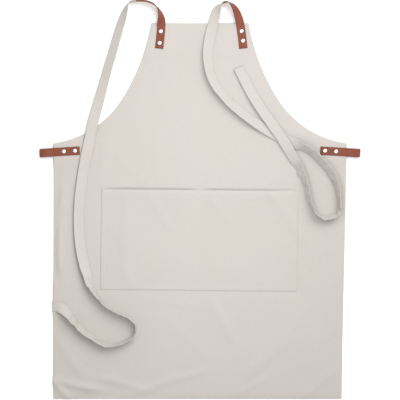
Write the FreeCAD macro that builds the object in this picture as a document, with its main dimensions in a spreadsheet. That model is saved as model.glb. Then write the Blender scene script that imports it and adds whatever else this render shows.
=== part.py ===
import FreeCAD, Part
import math
import os
import Sketcher

# A bib apron lying flat on its back: canvas body with a divided front pocket,
# leather neck and waist fittings held by rivets, and two loose canvas straps.
# X is across the apron, +Y runs from the foot to the bib, +Z is up from the surface.
# The origin is on that surface, in the middle of the outline without the straps.

Vector = FreeCAD.Vector
doc = FreeCAD.newDocument("BibApron")

# ---- driving dimensions, in millimetres and degrees -------------------------------
sizes = {
    "apron_length": 900,  # bib top to foot
    "neck_rise": 52.7,  # neck leathers' arches above the bib top
    "waist_width": 700,
    "side_taper": 6,  # how much each side comes in from the waist to the foot
    "bib_width": 232,
    "armhole_drop": 289,  # bib top to the armholes' lower ends
    "armhole_joint_out": 69.7,  # where an armhole's long and short arcs meet,
    "armhole_joint_drop": 181.7,  # measured from the bib's corner
    "armhole_radius": 510,
    "canvas": 0.8,
    "foot_hem": 24,
    "side_hem": 14,
    "bib_hem": 30,
    "facing_width": 13,
    "facing_end": 22,  # how far the armhole facing stops from the apron's edges
    "foot_flat": 70,  # length of skirt that lies right on the surface
    "foot_slope": 80,  # length over which it rises to the lift of the fittings
    "pocket_width": 470,
    "pocket_height": 241,
    "pocket_drop": 398,  # bib top to the pocket's mouth
    "pocket_slack": 4.8,  # room inside the pocket
    "pocket_seam": 9,
    "divider_seam": 6,
    "mouth_hem": 22,
    "leather": 1.8,
    "leather_width": 20,
    "loop_length": 96,  # folded length of a side loop
    "loop_reach": 34.5,  # how far it stands out past the apron's edge
    "loop_gap": 5.2,
    "loop_drop": 310,  # bib top to the loops' middle line
    "loop_droop_angle": 3.5,
    "strap_width": 25,
    "strap_thickness": 1.6,
    "cap_width": 9.6,
    "cap_height": 2.2,
    "disc_height": 0.8,
    "post_width": 3.2,
    "post_bite": 0.9,  # how far a post goes into its cap
    "post_clearance": 0.05,
    "thread": 0.8,
    "thread_height": 0.3,
    "bib_row_end": 36,  # from the bib's corners to the stitches between the neck leathers
    "stitch_inset": 3,  # from a folded edge to its row of stitches
}

sheet = doc.addObject("Spreadsheet::Sheet", "Sizes")
for row, (alias, value) in enumerate(sizes.items(), start=1):
    sheet.set(f"A{row}", alias)
    sheet.set(f"B{row}", str(value))
    sheet.setAlias(f"B{row}", alias)
doc.recompute()


def size(alias):
    return float(sheet.get(alias))


def value_of(expression):
    """The number that an expression on the sheet's sizes gives."""
    result = sheet.evalExpression(expression)
    return float(getattr(result, "Value", result))


# ---- places that several pieces share, as expressions on the sheet ------------------
half_length = "((Sizes.apron_length + Sizes.neck_rise) / 2)"
foot_y = f"(-{half_length})"
bib_y = f"({foot_y} + Sizes.apron_length)"
pocket_y = f"({bib_y} - Sizes.pocket_drop)"
loop_y = f"({bib_y} - Sizes.loop_drop)"
fold = "(2 * Sizes.canvas)"  # a hem turned twice adds two layers behind the canvas
lift = f"({fold} + Sizes.leather + Sizes.disc_height)"
canvas_top = f"({lift} + Sizes.canvas)"
pocket_top = f"({canvas_top} + Sizes.pocket_slack + Sizes.canvas)"
all_through = f"({canvas_top} + 5 * Sizes.leather)"  # from the surface past any layer
slope_start = f"({foot_y} + Sizes.foot_flat)"
slope_end = f"({slope_start} + Sizes.foot_slope)"
half_foot = "(Sizes.waist_width / 2 - Sizes.side_taper)"
hem_inner = f"({half_foot} - Sizes.side_hem)"


# ---- helpers ------------------------------------------------------------------------
def make_body(label):
    body = doc.addObject("PartDesign::Body", label)
    body.Label = label
    return body


def make_sketch(body, role, name, offset=None):
    """A sketch on one of the body's own origin planes, moved along its normal by offset."""
    sketch = body.newObject("Sketcher::SketchObject", name)
    plane = next(f for f in body.Origin.OriginFeatures if f.Role == role)
    sketch.AttachmentSupport = (plane, [""])
    sketch.MapMode = "FlatFace"
    if offset is not None:
        sketch.setExpression(".AttachmentOffset.Base.z", offset)
    doc.recompute()
    return sketch


def draw_outline(sketch, corners, arcs=None):
    """A closed outline through corners, pairs of expressions. arcs gives, for a side's number,
    the arc's middle point as a guess and what sets it: a radius, 'tangent' to the side before,
    or 'half' for a half circle between two corners that are level across."""
    arcs = arcs or {}
    points = [Vector(value_of(u), value_of(v), 0) for u, v in corners]
    first = sketch.GeometryCount
    count = len(points)
    for i, start in enumerate(points):
        end = points[(i + 1) % count]
        if i in arcs:
            middle = Vector(*[value_of(c) for c in arcs[i][0]], 0)
            leftward = (middle - start).cross(end - middle).z > 0
            ordered = (start, middle, end) if leftward else (end, middle, start)
            sketch.addGeometry(Part.Arc(*ordered), False)
        else:
            sketch.addGeometry(Part.LineSegment(start, end), False)
    # an arc always turns anticlockwise, so its own first point may be the side's end
    ends = []
    for i in range(count):
        geometry = sketch.Geometry[first + i]
        forward = geometry.StartPoint.distanceToPoint(points[i]) < 1e-6
        ends.append((1, 2) if forward else (2, 1))
    for i, (u, v) in enumerate(corners):
        side = first + i
        before = first + (i - 1) % count
        joint = "Tangent" if i in arcs and arcs[i][1] == "tangent" else "Coincident"
        sketch.addConstraint(
            Sketcher.Constraint(joint, before, ends[(i - 1) % count][1], side, ends[i][0])
        )
        for kind, expression, value in (
            ("DistanceX", u, points[i].x),
            ("DistanceY", v, points[i].y),
        ):
            number = sketch.addConstraint(
                Sketcher.Constraint(kind, -1, 1, side, ends[i][0], value)
            )
            sketch.setExpression(f"Constraints[{number}]", expression)
    for i, (_, rule) in arcs.items():
        if rule == "half":
            number = sketch.addConstraint(
                Sketcher.Constraint("DistanceX", -1, 1, first + i, 3, points[i].x)
            )
            sketch.setExpression(f"Constraints[{number}]", corners[i][0])
        elif rule != "tangent":
            number = sketch.addConstraint(Sketcher.Constraint("Radius", first + i, value_of(rule)))
            sketch.setExpression(f"Constraints[{number}]", rule)
    doc.recompute()


def rectangle(low_x, high_x, low_y, high_y):
    return [(low_x, low_y), (high_x, low_y), (high_x, high_y), (low_x, high_y)]


def pad(body, sketch, length, both_ways=False):
    feature = body.newObject("PartDesign::Pad", f"{body.Name}_{sketch.Name}_pad")
    feature.Profile = sketch
    feature.setExpression("Length", length)
    if both_ways:
        feature.SideType = "Symmetric"
    doc.recompute()
    return feature


def cut(body, sketch, length):
    """Removes what lies over the sketch, up to length, and makes sure that something went."""
    before = body.Shape.Volume
    feature = body.newObject("PartDesign::Pocket", f"{body.Name}_{sketch.Name}_cut")
    feature.Profile = sketch
    feature.Reversed = True
    feature.setExpression("Length", length)
    doc.recompute()
    if body.Shape.Volume > before - 0.01:
        raise ValueError(f"{feature.Name} cuts nothing")
    return feature


def holes(body, role, name, centres, radius):
    """Round holes right through the body; centres are pairs of numbers on the plane."""
    sketch = make_sketch(body, role, name)
    for x, y in centres:
        side = sketch.addGeometry(
            Part.Circle(Vector(x, y, 0), Vector(0, 0, 1), value_of(radius)), False
        )
        number = sketch.addConstraint(Sketcher.Constraint("Radius", side, value_of(radius)))
        sketch.setExpression(f"Constraints[{number}]", radius)
        sketch.addConstraint(Sketcher.Constraint("DistanceX", -1, 1, side, 3, x))
        sketch.addConstraint(Sketcher.Constraint("DistanceY", -1, 1, side, 3, y))
    doc.recompute()
    return cut(body, sketch, all_through)


def make_feature(label, shape):
    feature = doc.addObject("Part::Feature", label)
    feature.Label = label
    feature.Shape = shape
    feature.Placement = FreeCAD.Placement()
    return feature


def side_band(low_offset, high_offset, low_y, high_y):
    """The side view of a layer that follows the skirt's slope, as (y, z) corners:
    the offsets are heights over the back of the canvas."""
    top = [
        (high_y, f"({lift} + {high_offset})"),
        (slope_end, f"({lift} + {high_offset})"),
        (slope_start, f"({fold} + {high_offset})"),
        (low_y, f"({fold} + {high_offset})"),
    ]
    bottom = [
        (low_y, f"({fold} + {low_offset})"),
        (slope_start, f"({fold} + {low_offset})"),
        (slope_end, f"({lift} + {low_offset})"),
        (high_y, f"({lift} + {low_offset})"),
    ]
    return top + bottom


# ---- rivet places, from the bib's top middle or the loops' own middle line ------------
bib_top = value_of(bib_y)
post_hole = "(Sizes.post_width / 2 + Sizes.post_clearance)"
# each: side, across from the bib's corner on that side, below the bib top, True where the bib's
# hem lies behind
neck_rivets = [
    (-1, 21.9, 20.2, True),
    (-1, 19.0, 48.0, False),
    (1, -16.2, 19.7, True),
    (1, -12.8, 42.7, False),
]
# from the apron's side edge inwards, along each loop
loop_rivet_insets = [23.5, 50.0]


def neck_rivet_points():
    corner = size("bib_width") / 2
    return [Vector(side * corner + x, bib_top - down, 0) for side, x, down, _ in neck_rivets]


def loop_placement(side):
    """The side loop's own frame: its origin at the apron's side edge, +X outwards."""
    edge = side * size("waist_width") / 2
    droop = math.radians(size("loop_droop_angle"))
    turn = -droop if side > 0 else math.pi + droop
    return FreeCAD.Placement(
        Vector(edge, value_of(loop_y), 0),
        FreeCAD.Rotation(Vector(0, 0, 1), math.degrees(turn)),
    )


def loop_rivet_points(side):
    place = loop_placement(side)
    return [place.multVec(Vector(-inset, 0, 0)) for inset in loop_rivet_insets]


# ---- canvas body, with its hems turned to the back --------------------------------------
panel = make_body("apron_panel")
sketch = make_sketch(panel, "YZ_Plane", "panel_side_view")
draw_outline(sketch, side_band("0", "Sizes.canvas", foot_y, bib_y))
pad(panel, sketch, "Sizes.waist_width", both_ways=True)

for side_name, offset in (("left", "-Sizes.waist_width / 2"), ("right", hem_inner)):
    sketch = make_sketch(panel, "YZ_Plane", f"{side_name}_hem_view", offset)
    draw_outline(sketch, side_band(f"-{fold}", "0", foot_y, f"({bib_y} - Sizes.armhole_drop)"))
    pad(panel, sketch, f"Sizes.waist_width / 2 - {hem_inner}")

sketch = make_sketch(panel, "XY_Plane", "foot_hem_area")
draw_outline(
    sketch,
    rectangle(f"(-{hem_inner})", hem_inner, foot_y, f"({foot_y} + Sizes.foot_hem)"),
)
pad(panel, sketch, fold)

sketch = make_sketch(panel, "XY_Plane", "bib_hem_area", f"{lift} - {fold}")
draw_outline(
    sketch,
    rectangle("(-Sizes.bib_width / 2)", "(Sizes.bib_width / 2)", f"({bib_y} - Sizes.bib_hem)", bib_y),
)
pad(panel, sketch, fold)


def armhole_outline(side):
    """The cloth cut away beside the bib: an armhole's two arcs, then the tapered side."""
    sign = "-" if side < 0 else ""
    corner_x = f"({sign}Sizes.bib_width / 2)"
    joint_x = f"({sign}(Sizes.bib_width / 2 + Sizes.armhole_joint_out))"
    joint_y = f"({bib_y} - Sizes.armhole_joint_drop)"
    waist_x = f"({sign}Sizes.waist_width / 2)"
    waist_y = f"({bib_y} - Sizes.armhole_drop)"
    foot_x = f"({sign}{half_foot})"
    outside_x = f"({sign}(Sizes.waist_width / 2 + 20))"
    over_y = f"({bib_y} + 10)"
    under_y = f"({foot_y} - 10)"
    corners = [
        (corner_x, bib_y),
        (joint_x, joint_y),
        (waist_x, waist_y),
        (foot_x, foot_y),
        (foot_x, under_y),
        (outside_x, under_y),
        (outside_x, over_y),
        (corner_x, over_y),
    ]
    top = Vector(value_of(corner_x), value_of(bib_y), 0)
    joint = Vector(value_of(joint_x), value_of(joint_y), 0)
    waist = Vector(value_of(waist_x), value_of(waist_y), 0)
    return corners, (top, joint, waist)


def arc_centre(start, end, radius, side):
    """The centre outside the cloth of an arc of that radius between two points."""
    chord = end - start
    middle = (start + end) / 2
    normal = Vector(-chord.y, chord.x, 0).normalize() * (-1 if side < 0 else 1)
    reach = math.sqrt(radius ** 2 - (chord.Length / 2) ** 2)
    return middle + normal * reach


def armhole_arcs(side):
    """(centre, radius, start, end) of an armhole's long arc and of the arc tangent to it."""
    _, (top, joint, waist) = armhole_outline(side)
    radius = size("armhole_radius")
    centre = arc_centre(top, joint, radius, side)
    inward = (centre - joint).normalize()
    chord = waist - joint
    low_radius = chord.dot(chord) / (2 * chord.dot(inward))
    return [
        (centre, radius, top, joint),
        (joint + inward * low_radius, low_radius, joint, waist),
    ]


def on_arc(arc, share, grow=0.0):
    """A point at that share of an arc, on the circle grown by grow."""
    centre, radius, start, end = arc
    first = math.atan2(start.y - centre.y, start.x - centre.x)
    last = math.atan2(end.y - centre.y, end.x - centre.x)
    sweep = (last - first + math.pi) % (2 * math.pi) - math.pi
    angle = first + sweep * share
    reach = radius + grow
    return centre + Vector(math.cos(angle), math.sin(angle), 0) * reach


for side, side_name in ((-1, "left"), (1, "right")):
    corners, _ = armhole_outline(side)
    arcs = armhole_arcs(side)
    upper = on_arc(arcs[0], 0.5)
    lower = on_arc(arcs[1], 0.5)
    sketch = make_sketch(panel, "XY_Plane", f"{side_name}_armhole_area")
    draw_outline(
        sketch,
        corners,
        {
            0: ((str(upper.x), str(upper.y)), "Sizes.armhole_radius"),
            1: ((str(lower.x), str(lower.y)), "tangent"),
        },
    )
    cut(panel, sketch, all_through)

all_rivet_points = neck_rivet_points() + loop_rivet_points(-1) + loop_rivet_points(1)
holes(panel, "XY_Plane", "rivet_holes", [(p.x, p.y) for p in all_rivet_points], post_hole)


# ---- armhole facings, behind the curved edges ---------------------------------------------
def band_along_armhole(side, near, far, end_gap):
    """The flat face between two curves parallel to an armhole, near and far inside the cloth.
    It stops end_gap short of each end."""
    arcs = armhole_arcs(side)
    spans = [arc[1] * abs(sweep_of(arc)) for arc in arcs]
    first = end_gap / spans[0]
    last = 1 - end_gap / spans[1]

    def curve(grow):
        return [
            Part.Arc(*[on_arc(arcs[0], share, grow) for share in (first, (first + 1) / 2, 1)]),
            Part.Arc(*[on_arc(arcs[1], share, grow) for share in (0, last / 2, last)]),
        ]

    near_arcs = curve(near)
    far_arcs = curve(far)
    edges = [arc.toShape() for arc in near_arcs + far_arcs]
    edges.append(
        Part.makeLine(on_arc(arcs[0], first, near), on_arc(arcs[0], first, far))
    )
    edges.append(Part.makeLine(on_arc(arcs[1], last, near), on_arc(arcs[1], last, far)))
    return Part.Face(Part.Wire(Part.__sortEdges__(edges)))


def sweep_of(arc):
    centre, _, start, end = arc
    first = math.atan2(start.y - centre.y, start.x - centre.x)
    last = math.atan2(end.y - centre.y, end.x - centre.x)
    return (last - first + math.pi) % (2 * math.pi) - math.pi


for side, side_name in ((-1, "left"), (1, "right")):
    band = band_along_armhole(side, 0.5, size("facing_width"), size("bib_hem") + size("facing_end"))
    band.translate(Vector(0, 0, value_of(lift) - size("canvas")))
    make_feature(f"{side_name}_armhole_facing", band.extrude(Vector(0, 0, size("canvas"))))
    row = band_along_armhole(
        side,
        size("stitch_inset"),
        size("stitch_inset") + size("thread"),
        size("stitch_inset"),
    )
    row.translate(Vector(0, 0, value_of(canvas_top)))
    make_feature(
        f"{side_name}_armhole_stitching", row.extrude(Vector(0, 0, size("thread_height")))
    )


# ---- pocket: one patch, open at the top and sewn down its middle -------------------------------
pocket = make_body("pocket_panel")
half_pocket = "(Sizes.pocket_width / 2)"
pocket_low = f"({pocket_y} - Sizes.pocket_height)"
sketch = make_sketch(pocket, "XY_Plane", "pocket_area", canvas_top)
draw_outline(sketch, rectangle(f"(-{half_pocket})", half_pocket, pocket_low, pocket_y))
pad(pocket, sketch, f"{pocket_top} - {canvas_top}")
sketch = make_sketch(pocket, "XY_Plane", "pocket_room", canvas_top)
room_inner = "(Sizes.divider_seam / 2)"
room_outer = f"({half_pocket} - Sizes.pocket_seam)"
room_low = f"({pocket_low} + Sizes.pocket_seam)"
room_high = f"({pocket_y} + 5)"
draw_outline(sketch, rectangle(f"(-{room_outer})", f"(-{room_inner})", room_low, room_high))
draw_outline(sketch, rectangle(room_inner, room_outer, room_low, room_high))
cut(pocket, sketch, "Sizes.pocket_slack")


# ---- rows of stitches, as flat threads on the cloth ----------------------------------------------
def straight_thread(label, low_x, high_x, low_y, high_y, height):
    body = make_body(label)
    sketch = make_sketch(body, "XY_Plane", f"{label}_row", height)
    draw_outline(sketch, rectangle(low_x, high_x, low_y, high_y))
    pad(body, sketch, "Sizes.thread_height")
    return body


inset = "Sizes.stitch_inset"
thread = "Sizes.thread"
end_gap = "(2 * Sizes.stitch_inset)"
straight_thread(
    "bib_hem_stitching",
    "(-Sizes.bib_width / 2 + Sizes.bib_row_end)",
    "(Sizes.bib_width / 2 - Sizes.bib_row_end)",
    f"({bib_y} - Sizes.bib_hem + {inset})",
    f"({bib_y} - Sizes.bib_hem + {inset} + {thread})",
    canvas_top,
)
straight_thread(
    "foot_hem_stitching",
    f"(-{half_foot} + {end_gap})",
    f"({half_foot} - {end_gap})",
    f"({foot_y} + Sizes.foot_hem - {inset} - {thread})",
    f"({foot_y} + Sizes.foot_hem - {inset})",
    f"({fold} + Sizes.canvas)",
)
side_row = f"({hem_inner} + {inset})"
for side_name, offset in (("left", f"-{side_row} - {thread}"), ("right", side_row)):
    body = make_body(f"{side_name}_side_stitching")
    sketch = make_sketch(body, "YZ_Plane", f"{side_name}_side_row", offset)
    draw_outline(
        sketch,
        side_band(
            "Sizes.canvas",
            "(Sizes.canvas + Sizes.thread_height)",
            f"({foot_y} + Sizes.foot_hem)",
            f"({loop_y} - Sizes.leather_width)",
        ),
    )
    pad(body, sketch, thread)

straight_thread(
    "pocket_mouth_stitching",
    f"(-{room_outer})",
    room_outer,
    f"({pocket_y} - Sizes.mouth_hem)",
    f"({pocket_y} - Sizes.mouth_hem + {thread})",
    pocket_top,
)
straight_thread(
    "pocket_divider_stitching",
    f"(-{thread} / 2)",
    f"({thread} / 2)",
    f"({pocket_low} + {end_gap})",
    f"({pocket_y} - Sizes.mouth_hem - {inset})",
    pocket_top,
)
edge_thread = make_body("pocket_edge_stitching")
sketch = make_sketch(edge_thread, "XY_Plane", "pocket_edge_row", pocket_top)
row_out = f"({half_pocket} - {inset})"
row_in = f"({row_out} - {thread})"
row_low = f"({pocket_low} + {inset})"
row_high = f"({pocket_y} - {inset})"
draw_outline(
    sketch,
    [
        (f"(-{row_out})", row_high),
        (f"(-{row_out})", row_low),
        (row_out, row_low),
        (row_out, row_high),
        (row_in, row_high),
        (row_in, f"({row_low} + {thread})"),
        (f"(-{row_in})", f"({row_low} + {thread})"),
        (f"(-{row_in})", row_high),
    ],
)
pad(edge_thread, sketch, "Sizes.thread_height")


# ---- side loops: a leather strip folded round and riveted over the apron's edge ---------------
def make_side_loop(label, side):
    body = make_body(label)
    sketch = make_sketch(body, "XZ_Plane", f"{label}_side_view")
    inner_end = "(Sizes.loop_reach - Sizes.loop_length)"
    bend_x = "3"  # the leaves lie flat until just past the apron's edge
    outer_radius = "(Sizes.loop_gap / 2 + Sizes.leather)"
    fold_x = f"(Sizes.loop_reach - {outer_radius})"
    fold_z = f"({outer_radius} + 0.2)"  # the fold just clears the surface
    back_low = "Sizes.disc_height"
    front_high = f"({canvas_top} + Sizes.leather)"
    corners = [
        (inner_end, canvas_top),
        (bend_x, canvas_top),
        (fold_x, f"({fold_z} + Sizes.loop_gap / 2)"),
        (fold_x, f"({fold_z} - Sizes.loop_gap / 2)"),
        (bend_x, f"({back_low} + Sizes.leather)"),
        (inner_end, f"({back_low} + Sizes.leather)"),
        (inner_end, back_low),
        (bend_x, back_low),
        (fold_x, f"({fold_z} - {outer_radius})"),
        (fold_x, f"({fold_z} + {outer_radius})"),
        (bend_x, front_high),
        (inner_end, front_high),
    ]
    draw_outline(
        sketch,
        corners,
        {
            2: ((f"({fold_x} + Sizes.loop_gap / 2)", fold_z), "half"),
            8: ((f"({fold_x} + {outer_radius})", fold_z), "half"),
        },
    )
    pad(body, sketch, "Sizes.leather_width", both_ways=True)
    holes(body, "XY_Plane", f"{label}_rivet_holes", [(-x, 0) for x in loop_rivet_insets], post_hole)
    body.Placement = loop_placement(side)
    return body


make_side_loop("left_side_loop", -1)
make_side_loop("right_side_loop", 1)


# ---- rivets: a domed cap in front, pressed on the post of a flat disc behind --------------------
def rivet_cap(centre, seat):
    """A dome with its flat side down at height seat and a socket for the post."""
    half = size("cap_width") / 2
    height = size("cap_height")
    radius = (half ** 2 + height ** 2) / (2 * height)
    ball = Part.makeSphere(radius, centre + Vector(0, 0, seat + height - radius))
    slab = Part.makeCylinder(half + 1, height + 1, centre + Vector(0, 0, seat))
    socket = Part.makeCylinder(value_of(post_hole), size("post_bite") + 0.1, centre + Vector(0, 0, seat))
    return ball.common(slab).cut(socket)


def rivet_post(centre, back, seat):
    """A disc under the height back, with its post up through the layers into the cap."""
    disc = Part.makeCylinder(
        size("cap_width") / 2,
        size("disc_height"),
        centre + Vector(0, 0, back - size("disc_height")),
    )
    post = Part.makeCylinder(
        size("post_width") / 2,
        seat + size("post_bite") - back + 0.2,
        centre + Vector(0, 0, back - 0.2),
    )
    return disc.fuse(post).removeSplitter()


seat_height = value_of(canvas_top) + size("leather")
behind_canvas = value_of(lift)
behind_hem = behind_canvas - value_of(fold)
behind_loop = size("disc_height")

neck_backs = [behind_hem if hem else behind_canvas for _, _, _, hem in neck_rivets]
loop_points = loop_rivet_points(-1) + loop_rivet_points(1)
rivet_groups = {
    "neck": list(zip(neck_rivet_points(), neck_backs)),
    "loop": [(p, behind_loop) for p in loop_points],
}
for name, group in rivet_groups.items():
    caps = [rivet_cap(p, seat_height) for p, _ in group]
    posts = [rivet_post(p, back, seat_height) for p, back in group]
    make_feature(f"{name}_rivet_caps", Part.makeCompound(caps))
    make_feature(f"{name}_rivet_posts", Part.makeCompound(posts))


# ---- strips that twist along their way: neck leathers and canvas straps -------------------------
# A route's points are (across, up, rise, roll): across and up from the bib's corner on that side,
# rise from the middle of a leather strip that lies flat on the canvas. Roll is how far the
# strip's right edge dips as one walks along it: 0 lies flat, 90 and -90 stand on edge.
# A strap starts where its leather ends.
left_leather_route = [
    (18, -61, 0, 0),
    (20, -42, 0, 0),
    (22, -24, 0, 0),
    (23, -9, 0, 0),
    (23.8, 3, 4.6, 22),
    (23.4, 15, 7.5, 50),
    (20, 27, 7.5, 70),
    (14, 37, 7.1, 82),
    (5, 44.5, 6.8, 90),
    (-8, 50, 6.7, 90),
    (-23, 52.5, 6.7, 90),
    (-37, 52, 6.7, 90),
]
right_leather_route = [
    (-12, -61, 0, 0),
    (-14, -42, 0, 0),
    (-16.2, -24, 0, 0),
    (-18.4, -9, 0, 0),
    (-21, 4, 2, 8),
    (-25, 17, 4.2, 22),
    (-30, 30, 6, 38),
    (-36.5, 41, 6.6, 58),
    (-45.5, 48.5, 6.7, 78),
    (-54, 50, 6.7, 90),
    (-61, 47.5, 6.7, 90),
]
left_strap_route = [
    (-47, 51.5, 6.7, 90),
    (-56, 47, 6.7, 82),
    (-61.5, 34, 6, 60),
    (-69, 12, 4.1, 38),
    (-79.5, -20, 3, 30),
    (-91, -62, 2.7, 28),
    (-105, -108, 2.9, 26),
    (-118, -158, 3.6, 18),
    (-130, -202, 4, 4),
    (-140, -238, 2.8, -6),
    (-149, -280, 2, -8),
    (-159, -328, 2.4, -10),
    (-168, -380, 2, -8),
    (-174, -436, 1.8, -7),
    (-175, -490, 2, -8),
    (-170, -544, 2.9, -12),
    (-159, -592, 6.6, -30),
    (-145, -632, 11.1, -60),
    (-127, -662, 12.4, -86),
    (-105, -684, 12.4, -92),
    (-80, -696, 12.4, -90),
    (-62, -703, 12.4, -90),
    (-48, -710, 12.4, -90),
    (-38, -721, 12.4, -90),
    (-37, -737, 12.4, -90),
    (-44, -752, 12.4, -92),
    (-70, -767, 12.4, -97),
    (-101, -776, 12.2, -103),
    (-127, -765, 12.2, -104),
    (-150, -748, 12.2, -104),
    (-172, -732, 12.2, -105),
    (-191, -709, 11.6, -114),
    (-206, -689, 7.7, -144),
    (-220, -680, 0.9, -180),
    (-233.2, -680, 0.3, -180),
    (-233.2, -680, -4.7, -180),
    (-220, -680, -4.8, -180),
    (-205, -676, -4.8, -180),
    (-187, -665, -4.8, -180),
    (-167, -649, -4.8, -180),
]
right_strap_route = [
    (-67, 45, 6.7, 84),
    (-73, 38, 5.9, 56),
    (-77.5, 26, 4.2, 28),
    (-81, 12, 2.8, 12),
    (-85.8, -8, 1.8, 2),
    (-92.5, -34, 2.5, -8),
    (-98, -68, 4.1, -18),
    (-96, -106, 6.1, -28),
    (-84, -142, 6.5, -30),
    (-62, -174, 6.1, -28),
    (-32, -204, 3.7, -16),
    (4, -231, 0.7, -2),
    (38, -253, 0.3, 0),
    (74, -273, 0.3, 0),
    (104, -287, 1.1, 4),
    (130, -298.5, 8.7, 42),
    (156, -315, 10.1, 52),
    (181, -336, 10.1, 52),
    (201, -365, 10.4, 54),
    (213.5, -397, 11.4, 64),
    (218.5, -424, 12.1, 74),
    (218.5, -445, 12.3, 80),
    (212, -461, 12.1, 74),
    (194.5, -464.5, 11.3, 62),
    (176.5, -466.5, 11.6, 66),
    (160, -458.5, 12.4, 88),
    (149, -440, 12, 108),
    (141, -412, 11.6, 114),
    (136.5, -381, 11.4, 116),
    (126.5, -354, 10.4, 126),
    (107, -323, 7.2, 150),
    (83, -280, 4.6, 176),
    (54, -239, 3.3, 180),
    (26, -200, 2.8, 180),
    (0, -156, 1, 180),
    (-24, -106, 0.3, 180),
]


def route_points(route, side):
    """The route's points and rolls, from its bib corner."""
    corner = side * size("bib_width") / 2
    flat = value_of(canvas_top) + size("leather") / 2
    points = [Vector(corner + x, bib_top + y, flat + rise) for x, y, rise, _ in route]
    return points, [roll for _, _, _, roll in route]


def rounded_path(points, rolls, label):
    """(point, direction, roll) along straight runs joined by tangent arcs, one triple wherever
    the strip needs a cross-section, and the path's length. It prints the arcs' radii."""
    stations = [(points[0], (points[1] - points[0]).normalize(), rolls[0])]
    radii = []
    length = 0.0
    for i in range(1, len(points) - 1):
        before = points[i] - points[i - 1]
        after = points[i + 1] - points[i]
        shorter = min(before.Length, after.Length)
        turn = before.getAngle(after)
        trim = 0.45 * shorter
        radius = trim / math.tan(turn / 2)
        radii.append(round(radius, 1))
        start = points[i] - before.normalize() * trim
        end = points[i] + after.normalize() * trim
        normal = (end - start) - before * (end - start).dot(before)
        normal.normalize()
        steps = max(2, math.ceil(math.degrees(turn) / 15))
        length += (start - stations[-1][0]).Length + radius * turn
        for step in range(steps + 1):
            angle = turn * step / steps
            place = start + before * (radius * math.sin(angle))
            place = place + normal * (radius * (1 - math.cos(angle)))
            heading = before * math.cos(angle) + normal * math.sin(angle)
            share = step / steps - 0.5
            towards = rolls[i + 1] if share > 0 else rolls[i - 1]
            roll = rolls[i] + (towards - rolls[i]) * abs(share) * 0.9
            stations.append((place, heading, roll))
    last = (points[-1] - points[-2]).normalize()
    length += (points[-1] - stations[-1][0]).Length
    stations.append((points[-1], last, rolls[-1]))
    print(f"{label}: length {length:.0f} mm, radii {radii}")
    return stations, length


def right_hand(heading, before):
    """The level direction to the right of the heading. Where the strip dives round an edge and
    comes back upside down, it stays as it was before."""
    level = heading.cross(Vector(0, 0, 1))
    if before is None:
        return level.normalize()
    if level.Length < 0.1:
        return before
    level.normalize()
    return level if level.dot(before) > 0 else level * -1


def cross_section(station, right, width, thickness):
    place, heading, roll = station
    up = right.cross(heading).normalize()
    angle = math.radians(roll)
    across = right * math.cos(angle) - up * math.sin(angle)
    through = up * math.cos(angle) + right * math.sin(angle)
    corners = [
        place + across * (u * width / 2) + through * (v * thickness / 2)
        for u, v in ((-1, -1), (1, -1), (1, 1), (-1, 1))
    ]
    return [Part.makeLine(a, b) for a, b in zip(corners, corners[1:] + corners[:1])]


def solid_through(sections):
    """The solid whose sides are ruled from each cross-section to the next."""
    faces = [Part.Face(Part.Wire(sections[0])), Part.Face(Part.Wire(sections[-1]))]
    for before, after in zip(sections, sections[1:]):
        faces += [Part.makeRuledSurface(a, b) for a, b in zip(before, after)]
    shell = Part.makeShell(faces)
    shell.sewShape()
    solid = Part.makeSolid(shell)
    if solid.Volume < 0:
        solid.reverse()
    return solid


def make_strip(label, points, rolls, width, thickness, pierced=()):
    stations, length = rounded_path(points, rolls, label)
    sections = []
    right = None
    for station in stations:
        right = right_hand(station[1], right)
        sections.append(cross_section(station, right, width, thickness))
    strip = solid_through(sections)
    share = strip.Volume / (width * thickness * length)
    print(f"{label}: volume is {share:.3f} of its section times its length")
    for point in pierced:
        strip = strip.cut(Part.makeCylinder(value_of(post_hole), value_of(all_through), point))
    return make_feature(label, strip)


leather_size = (size("leather_width"), size("leather"))
strap_size = (size("strap_width"), size("strap_thickness"))
neck_points = neck_rivet_points()
neck_sides = [
    ("left", -1, left_leather_route, left_strap_route, neck_points[:2]),
    ("right", 1, right_leather_route, right_strap_route, neck_points[2:]),
]
for side_name, side, leather_route, strap_route, rivets in neck_sides:
    points, rolls = route_points(leather_route, side)
    make_strip(f"{side_name}_neck_leather", points, rolls, *leather_size, rivets)
    strap_points, strap_rolls = route_points(strap_route, side)
    make_strip(f"{side_name}_strap", points[-1:] + strap_points, rolls[-1:] + strap_rolls, *strap_size)

# ---- check every object, then write each piece ------------------------------------------------------
doc.recompute()
for item in doc.Objects:
    if "Invalid" in item.State or "Error" in item.State:
        raise ValueError(f"{item.Label} is {item.State}")

pieces = [item for item in doc.Objects if item.TypeId in ("PartDesign::Body", "Part::Feature")]
for piece in pieces:
    if piece.Shape.isNull() or not piece.Shape.isValid() or not piece.Shape.Solids:
        raise ValueError(f"{piece.Label} has no valid solid")

os.makedirs("parts", exist_ok=True)
for piece in pieces:
    piece.Shape.exportStep(f"parts/{piece.Label}.step")
    box = piece.Shape.BoundBox
    print(
        f"{piece.Label}: {len(piece.Shape.Solids)} solid(s), "
        f"x {box.XMin:.1f}..{box.XMax:.1f}, y {box.YMin:.1f}..{box.YMax:.1f}, "
        f"z {box.ZMin:.2f}..{box.ZMax:.2f}"
    )
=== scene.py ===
import math

import bmesh
import bpy
import numpy as np
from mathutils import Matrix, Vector, noise


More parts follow.
